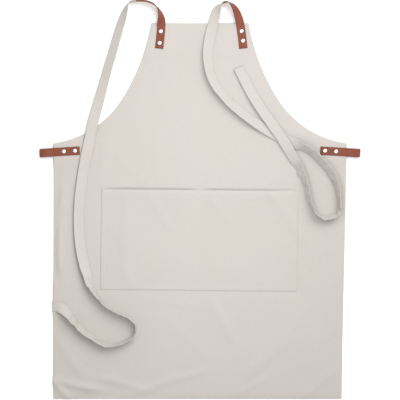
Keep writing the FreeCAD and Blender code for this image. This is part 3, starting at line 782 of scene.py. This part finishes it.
def travelled(line):
    # the distance covered up to each point of a line
    steps = np.linalg.norm(np.diff(line, axis=0), axis=1)
    return np.concatenate([[0.0], np.cumsum(steps)])


def setNumbers(mesh, name, numbers):
    # one number for each point, for a material to read
    layer = mesh.attributes.new(name, "FLOAT", "POINT")
    layer.data.foreach_set("value", np.array(numbers, np.float32))


def makeStrip(name, line, rolls, section, ripple=None):
    # sweeps the section along the line; the map runs in metres along and round the strip
    _, acrosses, throughs = ribbonFrames(line, rolls)
    outline = np.array([(a, t) for a, t, _ in section])
    along = travelled(line)
    around = travelled(np.vstack([outline, outline[:1]]))
    count = len(section)
    points = []
    for i, place in enumerate(line):
        for a, t, _ in section:
            lift = ripple(i, along[i], a) if ripple else 0.0
            spot = place + acrosses[i] * a + throughs[i] * (t + lift)
            spot[2] = max(spot[2], strap["floorGap"])
            points.append(spot)
    mesh = bpy.data.meshes.new(name)
    faces = []
    uvs = []
    for i in range(len(line) - 1):
        for j in range(count):
            k = (j + 1) % count
            faces.append((i * count + j, i * count + k, (i + 1) * count + k, (i + 1) * count + j))
            uvs += [(along[a], around[b]) for a, b in ((i, j), (i, j + 1), (i + 1, j + 1), (i + 1, j))]
    last = (len(line) - 1) * count
    faces.append(tuple(reversed(range(count))))
    faces.append(tuple(range(last, last + count)))
    uvs += [(a, t) for a, t in reversed(outline)] + [(a, t) for a, t in outline]
    mesh.from_pydata(points, [], faces)
    layer = mesh.uv_layers.new(name="strip")
    layer.data.foreach_set("uv", np.array(uvs, np.float32).ravel())
    setNumbers(mesh, "cutEdge", [e for _, _, e in section] * len(line))
    setNumbers(mesh, "fleshSide", [float(t < 0 and e == 0) for _, t, e in section] * len(line))
    outwards(mesh)
    return mesh


def outwards(mesh):
    # faces point out of the closed shell
    shell = bmesh.new()
    shell.from_mesh(mesh)
    bmesh.ops.recalc_face_normals(shell, faces=shell.faces)
    if shell.calc_volume(signed=True) < 0:
        bmesh.ops.reverse_faces(shell, faces=shell.faces)
    shell.to_mesh(mesh)
    shell.free()


def restOnCloth(line, rolls):
    # a strap comes down with the cloth beneath it, and its crumpled stretches touch the cloth
    _, acrosses, throughs = ribbonFrames(line, rolls)
    lowered = line.copy()
    for i, loose in enumerate(looseness(line, rolls)):
        x, y, z = line[i]
        if y >= bibTop or z < clothTop:
            continue
        reach = acrosses[i] * strap["width"] / 2
        half = throughs[i] * strap["thickness"] / 2
        spots = [(x, y), (x + reach[0], y + reach[1]), (x - reach[0], y - reach[1])]
        dips = [clothDip(a, b) if edgeGap(a, b) > 0 and b > footEdge else 0.0 for a, b in spots]
        flat = z - max(min(dips), -strap["deepest"])
        corners = [reach + half, reach - half, -reach + half, -reach - half]
        rest = max(clothHeight(x + c[0] - lean(y), y + c[1]) - c[2] for c in corners)
        lowered[i, 2] = flat + loose * (min(rest + strap["clear"], flat) - flat)
    over = strap["evenedOver"]
    padded = np.pad(lowered[:, 2], over // 2, mode="edge")
    eased = np.convolve(padded, np.ones(over) / over, mode="valid")
    early = np.arange(len(line)) < len(line) * strap["evened"]
    lowered[:, 2] = np.where(early, eased, lowered[:, 2])
    return lowered


def strapRipple(seed, loose):
    # the strap's small unevenness: soft cross creases, and sharper ones where it is crumpled
    waveAlong, waveAcross, waveHeight = strap["waves"]
    fineAlong, fineAcross, fineHeight = strap["fineWaves"]
    foldAlong, foldSlant, foldAcross = strap["folds"]

    def ripple(number, along, across):
        wave = noise.noise(Vector((along * waveAlong, across * waveAcross, seed)))
        fine = noise.noise(Vector((along * fineAlong, across * fineAcross, seed + 5)))
        slanting = along * foldAlong + across * foldSlant
        fold = abs(noise.noise(Vector((slanting, across * foldAcross, seed + 9))))
        crumpled = loose[number] * (strap["foldRise"] - strap["foldDepth"] * fold)
        return waveHeight * wave + fineHeight * fine + crumpled

    return ripple


straps = {}
strapSection = stripSection(strap["width"], strap["thickness"], strap["edge"], 10)
for side, name, route in ((-1, "left", leftStrapRoute), (1, "right", rightStrapRoute)):
    line, rolls = readRoute(route, side, strap["perPoint"])
    crumple(line, rolls)
    line = restOnCloth(line, rolls)
    ripple = strapRipple(side * 3.0, looseness(line, rolls))
    mesh = makeStrip(f"{name}_canvas_strap", line, rolls, strapSection, ripple)
    piece = makePiece(f"{name}_canvas_strap", mesh, strapCanvas, [f"{name}_strap"])
    length = float(travelled(line)[-1])
    straps[name] = {"piece": piece, "line": line, "rolls": rolls, "length": length, "with": []}
    print(name, "strap:", round(length, 3), "m")


def makeSheet(name, rows):
    # a closed sheet from rows of places, each with the heights of both of its faces there
    grid = np.array(rows)
    size = grid.shape[0] * grid.shape[1]
    places = grid.reshape(-1, 4)
    points = np.vstack([places[:, [0, 1, 2]], places[:, [0, 1, 3]]])
    index = np.arange(size).reshape(grid.shape[:2])
    quads = np.stack([index[:-1, :-1], index[:-1, 1:], index[1:, 1:], index[1:, :-1]], -1).reshape(-1, 4)
    faces = quads.tolist() + (quads[:, ::-1] + size).tolist()
    rim = [*index[0, :], *index[1:, -1], *index[-1, -2::-1], *index[-2:0:-1, 0]]
    for a, b in zip(rim, rim[1:] + rim[:1]):
        faces.append((b, a, a + size, b + size))
    mesh = bpy.data.meshes.new(name)
    mesh.from_pydata(points, [], faces)
    outwards(mesh)
    return mesh


def thinned(places, apart):
    # leaves out any place that nearly meets the one before it
    kept = []
    for place in places:
        if not kept or abs(place - kept[-1]) > apart:
            kept.append(place)
    return kept


def clothRows(cut):
    # the rows' heights: even along the armholes' arcs and down the skirt, close at folds
    heights = [bibTop, bibTop - cut["edgeStep"], footEdge + cut["edgeStep"]]
    for centre, radius, angles in armholeAngles(None):
        heights += [centre.y + radius * math.sin(angle) for angle in angles[1:]]
    steps = round((armholeEnd.y - footEdge) / cut["cell"])
    heights += [armholeEnd.y + (footEdge - armholeEnd.y) * i / steps for i in range(1, steps + 1)]
    folds = (bibTop - cut["bibHem"], footEdge + cut["footHem"])
    heights += [fold + step * cut["foldStep"] for fold in folds for step in (-1, 1)]
    heights += [pocketHigh.y + cut["mouthStep"] * i for i in range(-6, 9)]
    rows = thinned(sorted(heights, reverse=True), cut["nearest"])
    rows[-1] = footEdge
    return rows


def rounding(gap, depth, width):
    # how far a cut edge is eased, at a distance from it
    return depth * max(0.0, 1 - gap / width) ** 2


def makeApron(cut):
    edgeSteps = [0.0, 0.0006, 0.003, 0.0065, 0.010, 0.0133, 0.0147, 0.019]
    rows = []
    for y in clothRows(cut):
        half = halfWidth(y)
        middle = half - edgeSteps[-1]
        xs = [-half + step for step in edgeSteps]
        xs += [-middle + 2 * middle * i / cut["inner"] for i in range(1, cut["inner"])]
        xs += [half - step for step in reversed(edgeSteps)]
        rows.append([])
        for x in xs:
            thick = cut["thickness"] * (1 + 2 * hemShare(x, y))
            easing = rounding(min(edgeGap(x, y), y - footEdge, bibTop - y), *cut["edgeEase"])
            top = max(clothHeight(x, y) - easing, thick + cut["floorGap"])
            rows[-1].append((*laid(x, y), top, top - thick + easing))
    return makeSheet("canvas_apron", rows)


apron = makePiece("canvas_apron", makeApron(cloth), canvas, ["apron_panel"])
print("apron cloth:", len(apron.data.polygons), "faces")


def makeFacing(name, side, cut):
    # a narrow strip of the same cloth, sewn behind the armhole
    rows = []
    low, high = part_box(name)
    inset = 0.0005
    hair = 0.00002  # left free above and below it
    cutEase = 0.0002
    for centre, radius, angles in armholeAngles(44):
        for i, angle in enumerate(angles):
            ray = Vector((math.cos(angle), math.sin(angle)))
            rim = centre + ray * (radius + inset)
            if not low.y <= rim.y <= high.y or (i == 0 and rows):
                continue
            rows.append([])
            for share in (0.0, 0.05, 0.3, 0.6, 0.95, 1.0):
                spot = centre + ray * (radius + inset + share * (cut["facing"] - inset))
                top = clothHeight(spot.x * side, spot.y) - cut["thickness"] - hair
                easing = cutEase if share in (0.0, 1.0) else 0.0
                under = max(top - cut["thickness"] + easing, hair)
                rows[-1].append((*laid(side * spot.x, spot.y), top - easing, under))
    return makeSheet(name, rows)


for side, name in ((-1, "left_armhole_facing"), (1, "right_armhole_facing")):
    mesh = makeFacing(name, side, cloth)
    makePiece(f"{name}_cloth", mesh, canvas, [name])
print("armhole facings ready")


# the pocket: sewn down at its sides, foot and middle, a little slack between
pocket = {
    "seam": 0.009,
    "mouthHem": 0.022,
    "slack": 0.0011,
    "gape": 0.0016,
    "cell": 0.0046,
    "under": 0.00006,  # kept free between the cloth and the pocket's back
    "thinnest": 0.0002,
    "seamDip": 0.00016,  # along its middle seam, over this width
    "seamDipWidth": 0.0028,
    "edgeLayers": 0.25,  # what the turned edges and the mouth's hem add, in thicknesses
    "mouthLayers": 0.30,
    "proud": 0.00008,
    "foldStep": 0.0006,  # the rows of points on each side of a fold
    "edgeEase": (0.0004, 0.0009),
    "nearest": 0.0004,
}


def pocketLift(x, y):
    # how far the pocket stands off the cloth behind it
    half = pocketHigh.x
    sides = smooth(pocket["seam"] * 0.6, 0.060, half - abs(x)) * smooth(0.002, 0.040, abs(x))
    foot = smooth(pocket["seam"] * 0.6, 0.070, y - pocketLow.y)
    mouth = smooth(pocketHigh.y - 0.060, pocketHigh.y, y)
    wave = 0.7 + 0.6 * noise.noise(Vector((x * 11, y * 11, 12.5)))
    return (pocket["slack"] * foot * wave + pocket["gape"] * mouth) * sides


def pocketHeight(x, y):
    # the height of the pocket's outer face
    inside = min(pocketHigh.x - abs(x), y - pocketLow.y)
    pastSeam = smooth(pocket["seam"] - 0.004, pocket["seam"] + 0.003, inside)
    layers = 1.0 + pocket["edgeLayers"] * (1 - pastSeam)
    layers += pocket["mouthLayers"] * smooth(-0.003, 0.003, y - pocketHigh.y + pocket["mouthHem"])
    seamDip = pocket["seamDip"] * math.exp(-((x / pocket["seamDipWidth"]) ** 2))
    base = clothHeight(x, y + tilted(x)) + pocket["proud"] + pocketLift(x, y)
    return base + cloth["thickness"] * layers - seamDip


def even(low, high, cell, extra):
    # places from low to high, about a cell apart, with some more near folds
    steps = round((high - low) / cell)
    places = [low + (high - low) * i / steps for i in range(steps + 1)]
    places += [p for p in extra if low < p < high]
    kept = thinned(sorted(places), pocket["nearest"])
    kept[-1] = high
    return kept


def makePocket(cut):
    low = pocketLow
    high = pocketHigh
    step = cut["foldStep"]
    seam = [0.0005, cut["seam"] - step, cut["seam"] + step]
    mouth = [0.0005, cut["mouthHem"] - step, cut["mouthHem"] + step]
    folds = [low.x + inset for inset in seam]
    folds += [-x for x in folds] + [0.0015 * i for i in range(-3, 4)]
    xs = even(low.x, high.x, cut["cell"], folds)
    turns = [low.y + inset for inset in seam] + [high.y - inset for inset in mouth]
    ys = even(low.y, high.y, cut["cell"], turns)
    rows = []
    for y in reversed(ys):
        rows.append([])
        for x in xs:
            easing = rounding(min(high.x - abs(x), high.y - y, y - low.y), *cut["edgeEase"])
            top = pocketHeight(x, y) - easing
            shifted = y + tilted(x)
            under = clothHeight(x, shifted) + cut["under"] + pocketLift(x, y)
            rows[-1].append((*laid(x, shifted), top, min(under + easing, top - cut["thinnest"])))
    return makeSheet("canvas_pocket", rows)


pocketPiece = makePiece("canvas_pocket", makePocket(pocket), canvas, ["pocket_panel"])
print("pocket:", len(pocketPiece.data.polygons), "faces")


# stitches: one short thread on each point, laid along its row
stitch = {
    "length": 0.0027,
    "width": 0.00058,
    "height": 0.00036,
    "wobble": 0.07,
    "pitch": 0.0036,
    "inset": 0.0024,  # from a strap's edge
    "proud": 0.00005,
    "squareEnds": (0.003, 0.018),  # the cross rows at a strap's start
    "fromFold": 0.003,
    "armholeInset": 0.0034,
    "rowGap": 0.0062,  # between the two rows at the pocket's edge
    "boxSlack": 0.0004,  # half a thread, from the frame's box to the row's middle
    "dividerRise": 0.024,
    "lift": 0.00002,
}


def startTree(name, **inputs):
    # a geometry tree that works on points, with the given inputs and their kinds
    tree = bpy.data.node_groups.new(name, "GeometryNodeTree")
    for title, kind in {"Geometry": "Geometry", **inputs}.items():
        tree.interface.new_socket(name=title, in_out="INPUT", socket_type=f"NodeSocket{kind}")
    tree.interface.new_socket(name="Geometry", in_out="OUTPUT", socket_type="NodeSocketGeometry")
    return tree, tree.nodes.new("NodeGroupInput").outputs


def finishTree(tree, given, shape, **placing):
    # sets the shape on every point and paints it
    placing = {"Points": given["Geometry"], "Instance": shape.outputs[0], **placing}
    placed = addNode(tree, "GeometryNodeInstanceOnPoints", **placing)
    real = addNode(tree, "GeometryNodeRealizeInstances", Geometry=placed.outputs[0])
    painted = addNode(tree, "GeometryNodeSetMaterial", Geometry=real.outputs[0], Material=given["Paint"])
    tree.links.new(painted.outputs[0], tree.nodes.new("NodeGroupOutput").inputs[0])
    return tree


def makeStitchTree():
    sizes = {"Length": "Float", "Width": "Float", "Height": "Float", "Wobble": "Float"}
    tree, given = startTree("stitchRow", **sizes, Seed="Int", Paint="Material")
    read = {"data_type": "FLOAT_VECTOR"}
    along = addNode(tree, "GeometryNodeInputNamedAttribute", read, Name="along").outputs[0]
    up = addNode(tree, "GeometryNodeInputNamedAttribute", read, Name="up").outputs[0]
    align = "FunctionNodeAlignRotationToVector"
    lined = addNode(tree, align, {"axis": "X"}, Vector=along).outputs[0]
    stood = addNode(tree, align, {"axis": "Z", "pivot_axis": "X"}, Rotation=lined, Vector=up).outputs[0]
    limits = {"input2": math2(tree, "MULTIPLY", given["Wobble"], -1.0), "input3": given["Wobble"]}
    wobble = addNode(tree, "FunctionNodeRandomValue", {"data_type": "FLOAT"}, Seed=given["Seed"], **limits)
    spin = {"Axis": (0.0, 0.0, 1.0), "Angle": wobble.outputs[1]}
    twist = addNode(tree, "FunctionNodeAxisAngleToRotation", **spin).outputs[0]
    local = {"rotation_space": "LOCAL"}
    turned = addNode(tree, "FunctionNodeRotateRotation", local, Rotation=stood, Rotate_By=twist).outputs[0]
    lump = addNode(tree, "GeometryNodeMeshUVSphere", Segments=6, Rings=5, Radius=0.5).outputs[0]
    size = addNode(tree, "ShaderNodeCombineXYZ", X=given["Length"], Y=given["Width"], Z=given["Height"])
    shaped = addNode(tree, "GeometryNodeTransform", Geometry=lump, Scale=size.outputs[0])
    return finishTree(tree, given, shaped, Rotation=turned)


def growMesh(name, points, vectors, tree, values):
    # runs a tree on a few points and gives the plain mesh that it grows
    seedMesh = bpy.data.meshes.new(name)
    seedMesh.from_pydata(points, [], [])
    for attribute, rows in vectors.items():
        layer = seedMesh.attributes.new(attribute, "FLOAT_VECTOR", "POINT")
        layer.data.foreach_set("vector", np.array(rows, np.float32).ravel())
    holder = link(bpy.data.objects.new(f"{name}_points", seedMesh))
    grow = holder.modifiers.new("grow", "NODES")
    grow.node_group = tree
    for item in tree.interface.items_tree:
        if item.in_out == "INPUT" and item.name in values:
            grow[item.identifier] = values[item.name]
    graph = bpy.context.evaluated_depsgraph_get()
    mesh = bpy.data.meshes.new_from_object(holder.evaluated_get(graph), depsgraph=graph)
    mesh.name = name
    bpy.data.objects.remove(holder)
    for extra in [a.name for a in mesh.attributes if a.name in vectors]:
        mesh.attributes.remove(mesh.attributes[extra])
    return mesh


stitchTree = makeStitchTree()


def evenPlaces(rows, pitch):
    # rows of numbers a stitch apart along a line; the first three, or both, are the place
    rows = np.array(rows, float)
    along = travelled(rows[:, :3])
    count = int(along[-1] / pitch)
    wanted = (np.arange(count) + 0.5) * along[-1] / count
    return np.stack([np.interp(wanted, along, rows[:, axis]) for axis in range(rows.shape[1])], -1)


def rowsOnCloth(lines, height):
    # stitch places, directions and ups for rows drawn flat on the cloth
    shift = tilted if height is pocketHeight else (lambda x: 0.0)
    places = []
    alongs = []
    for line in lines:
        spots = evenPlaces(line, stitch["pitch"])
        row = np.array([(*laid(x, y + shift(x)), height(x, y) + stitch["lift"]) for x, y in spots])
        places += list(row)
        alongs += list(np.gradient(row, axis=0))
    return places, alongs, [(0.0, 0.0, 1.0)] * len(places)


def makeStitching(name, rows, seed, nodes=()):
    places, alongs, ups = rows
    values = {key.capitalize(): stitch[key] for key in ("length", "width", "height", "wobble")}
    values.update(Seed=seed, Paint=thread)
    mesh = growMesh(name, places, {"along": alongs, "up": ups}, stitchTree, values)
    return makePiece(name, mesh, None, nodes)


def boxRow(name):
    # the middle line of a straight row of stitches
    low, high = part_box(f"{name}_stitching")
    x = (low.x + high.x) / 2
    y = (low.y + high.y) / 2
    if high.x - low.x > high.y - low.y:
        return [(low.x, y), (high.x, y)]
    return [(x, low.y), (x, high.y)]


def armholeRow(side, inset):
    # a row that follows the armhole, a little inside its edge
    line = []
    for centre, radius, angles in armholeAngles(24):
        for angle in angles:
            x = centre.x + (radius + inset) * math.cos(angle)
            y = centre.y + (radius + inset) * math.sin(angle)
            if y < bibTop - stitch["fromFold"] and x < waistHalf - stitch["fromFold"]:
                line.append((side * x, y))
    return line


def sideRow(name, side):
    low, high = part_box(f"{name}_stitching")
    inset = cloth["sideHem"] - stitch["fromFold"]
    return [(side * (halfWidth(y) - inset), y) for y in np.linspace(high.y, low.y, 30)]


def pocketEdgeRow(inset):
    # down one side of the pocket, along its foot and up the other side
    low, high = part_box("pocket_edge_stitching")
    left = low.x + stitch["boxSlack"] + inset
    right = high.x - stitch["boxSlack"] - inset
    foot = low.y + stitch["boxSlack"] + inset
    return [(left, high.y), (left, foot), (right, foot), (right, high.y)]


dividerLow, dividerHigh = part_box("pocket_divider_stitching")
stitchRows = {
    "bib_hem": [boxRow("bib_hem")],
    "foot_hem": [boxRow("foot_hem")],
    "left_side": [sideRow("left_side", -1)],
    "right_side": [sideRow("right_side", 1)],
    "left_armhole": [armholeRow(-1, stitch["armholeInset"])],
    "right_armhole": [armholeRow(1, stitch["armholeInset"])],
    "pocket_mouth": [boxRow("pocket_mouth")],
    "pocket_divider": [[(0.0, dividerHigh.y + stitch["dividerRise"]), (0.0, dividerLow.y)]],
    "pocket_edge": [pocketEdgeRow(0.0), pocketEdgeRow(stitch["rowGap"])],
}
for number, (name, lines) in enumerate(stitchRows.items()):
    height = pocketHeight if name.startswith("pocket") else clothHeight
    node = f"{name}_stitching"
    makeStitching(f"{node}_thread", rowsOnCloth(lines, height), number, [node])
print("stitches on the cloth ready")


def strapRows(part):
    # rows of stitches along a strap on both of its faces, and a square of them at its start
    line = part["line"]
    headings, acrosses, throughs = ribbonFrames(line, part["rolls"])
    inset = strap["width"] / 2 - stitch["inset"]
    proud = strap["thickness"] / 2 + stitch["proud"]
    rows = []
    for out in (inset, -inset):
        for face in (1.0, -1.0):
            rail = line + acrosses * out + throughs * (face * proud)
            rows += evenPlaces(np.hstack([rail, headings, throughs * face]), stitch["pitch"]).tolist()
    for step in stitch["squareEnds"]:
        near = int(np.argmin(abs(np.linalg.norm(line[:60] - line[0], axis=1) - step)))
        across = acrosses[near]
        for face in (1.0, -1.0):
            up = throughs[near] * face
            for share in np.linspace(-1, 1, 6):
                rows.append([*(line[near] + across * (inset * share * 0.8) + up * proud), *across, *up])
    return [row[0:3] for row in rows], [row[3:6] for row in rows], [row[6:9] for row in rows]


for number, (name, part) in enumerate(straps.items()):
    part["with"].append(makeStitching(f"{name}_strap_stitching", strapRows(part), 20 + number))
print("stitches on the straps ready")


# the leather strips that carry the straps
leatherStrip = {"width": 0.020, "edge": 0.00045, "perPoint": 10}
leftLeatherRoute = [
    (0.018, -0.061, 0, 0),
    (0.02, -0.042, 0, 0),
    (0.022, -0.024, 0, 0),
    (0.023, -0.009, 0, 0),
    (0.0238, 0.003, 0.0046, 22),
    (0.0234, 0.015, 0.0075, 50),
    (0.02, 0.027, 0.0075, 70),
    (0.014, 0.037, 0.0071, 82),
    (0.005, 0.0445, 0.0068, 90),
    (-0.008, 0.05, 0.0067, 90),
    (-0.023, 0.0525, 0.0067, 90),
    (-0.037, 0.052, 0.0067, 90),
]
rightLeatherRoute = [
    (-0.012, -0.061, 0, 0),
    (-0.014, -0.042, 0, 0),
    (-0.0162, -0.024, 0, 0),
    (-0.0184, -0.009, 0, 0),
    (-0.021, 0.004, 0.002, 8),
    (-0.025, 0.017, 0.0042, 22),
    (-0.03, 0.03, 0.006, 38),
    (-0.0365, 0.041, 0.0066, 58),
    (-0.0455, 0.0485, 0.0067, 78),
    (-0.054, 0.05, 0.0067, 90),
    (-0.061, 0.0475, 0.0067, 90),
]


leatherSection = stripSection(leatherStrip["width"], leatherThickness, leatherStrip["edge"], 12)
for side, name, route in ((-1, "left", leftLeatherRoute), (1, "right", rightLeatherRoute)):
    line, turn = readRoute(route, side, leatherStrip["perPoint"])
    mesh = makeStrip(f"{name}_neck_leather_strip", line, turn, leatherSection)
    makePiece(f"{name}_neck_leather_strip", mesh, leather, [f"{name}_neck_leather"])
print("neck leathers ready")


sideLoop = {"droop": 3.5, "half": 0.048, "upper": 0.0009, "lower": 0.0017, "perPoint": 8}


def makeSideLoop(side, node):
    # one strip of leather, folded over the apron's edge with an eye left at the fold
    low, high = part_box(node)
    droop = math.radians(sideLoop["droop"])
    middle = Vector(((low.x + high.x) / 2, (low.y + high.y) / 2, 0.0))
    outward = Vector((side * math.cos(droop), -math.sin(droop), 0.0))
    half = sideLoop["half"]
    upper = clothTop + sideLoop["upper"]
    lower = sideLoop["lower"]
    profile = [
        (-half, upper),
        (-half * 0.5, upper),
        (0.004, upper),
        (0.016, upper),
        (0.026, upper + 0.0016),
        (0.036, upper + 0.0023),
        (0.0455, upper + 0.0015),
        (0.0478, (upper + lower) / 2 + 0.001),
        (0.0460, lower - 0.0004),
        (0.036, lower - 0.0006),
        (0.026, lower - 0.0003),
        (0.016, lower),
        (0.004, lower),
        (-half * 0.5, lower),
        (-half, lower),
    ]
    places = [tuple(middle + outward * out)[:2] + (z,) for out, z in profile]
    line = readSpline(places, sideLoop["perPoint"])
    return makeStrip(node, line, np.zeros(len(line)), leatherSection)


for side, name in ((-1, "left_side_loop"), (1, "right_side_loop")):
    makePiece(f"{name}_leather", makeSideLoop(side, name), leather, [name])
print("side loops ready")


# rivets: a domed cap in front, a flat disc with a dimple behind
rivet = {"sides": 33, "rings": 22, "apart": 0.012}


def makeRivetTree(name, profile):
    # turns a profile round each point: shares along it, of the radius and of the height
    tree, given = startTree(name, Width="Float", Height="Float", Sides="Int", Rings="Int", Paint="Material")
    counts = {"Vertices_X": given["Rings"], "Vertices_Y": given["Sides"]}
    grid = addNode(tree, "GeometryNodeMeshGrid", Size_X=1.0, Size_Y=1.0, **counts).outputs[0]
    position = addNode(tree, "GeometryNodeInputPosition").outputs[0]
    parts = addNode(tree, "ShaderNodeSeparateXYZ", input0=position)
    share = math2(tree, "ADD", parts.outputs[0], 0.5)
    turn = math2(tree, "MULTIPLY", parts.outputs[1], 2 * math.pi)
    shaped = []
    for column in (1, 2):
        knots = [(row[0], row[column]) for row in profile]
        curve = addNode(tree, "ShaderNodeFloatCurve", Value=share)
        points = curve.mapping.curves[0].points
        points[0].location = knots[0]
        points[1].location = knots[-1]
        for knot in knots[1:-1]:
            points.new(*knot)
        for point in points:
            point.handle_type = "VECTOR"
        curve.mapping.update()
        shaped.append(curve.outputs[0])
    radius = math2(tree, "MULTIPLY", shaped[0], math2(tree, "MULTIPLY", given["Width"], 0.5))
    around = {
        "X": math2(tree, "MULTIPLY", radius, math2(tree, "COSINE", turn)),
        "Y": math2(tree, "MULTIPLY", radius, math2(tree, "SINE", turn)),
        "Z": math2(tree, "MULTIPLY", shaped[1], given["Height"]),
    }
    spot = addNode(tree, "ShaderNodeCombineXYZ", **around).outputs[0]
    turned = addNode(tree, "GeometryNodeSetPosition", Geometry=grid, Position=spot).outputs[0]
    closed = addNode(tree, "GeometryNodeMergeByDistance", Geometry=turned, Distance=0.00001)
    return finishTree(tree, given, closed)


def solidBoxes(node):
    # the lowest and highest corner of each rivet in a node
    found = []
    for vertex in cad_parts[node].data.vertices:
        for box in found:
            if all((corner.xy - vertex.co.xy).length < rivet["apart"] for corner in box):
                box[0] = Vector(map(min, box[0], vertex.co))
                box[1] = Vector(map(max, box[1], vertex.co))
                break
        else:
            found.append([vertex.co.copy(), vertex.co.copy()])
    return found


capProfile = [
    (0, 0, 0),
    (0.14, 0.94, 0),
    (0.22, 1, 0.1),
    (0.34, 1, 0.28),
    (0.44, 0.95, 0.48),
    (0.6, 0.78, 0.76),
    (0.8, 0.45, 0.94),
    (1, 0, 1),
]
backProfile = [
    (0, 0, 0.1),
    (0.1, 0.16, 0.08),
    (0.18, 0.24, 0.03),
    (0.26, 0.34, 0),
    (0.4, 0.9, 0),
    (0.48, 1, 0.04),
    (0.58, 1, 0.1),
    (0.66, 0.94, 0.14),
    (0.8, 0.36, 0.15),
    (0.9, 0.36, 1),
    (1, 0, 1),
]
rivetTrees = {
    "domes": ("caps", makeRivetTree("rivetCap", capProfile), 0.00003),
    "backs": ("posts", makeRivetTree("rivetBack", backProfile), 0.0),
}
for group in ("neck", "loop"):
    for kind, (node, tree, sink) in rivetTrees.items():
        boxes = solidBoxes(f"{group}_rivet_{node}")
        seats = [((low.x + high.x) / 2, (low.y + high.y) / 2, low.z - sink) for low, high in boxes]
        low, high = boxes[0]
        size = high - low
        values = {"Width": size.x, "Height": size.z, "Paint": nickel}
        values.update(Sides=rivet["sides"], Rings=rivet["rings"])
        mesh = growMesh(f"{group}_rivet_{kind}", seats, {}, tree, values)
        outwards(mesh)
        makePiece(f"{group}_rivet_{kind}", mesh, None, [f"{group}_rivet_{node}"])
        print(group, "rivets:", len(boxes), kind)
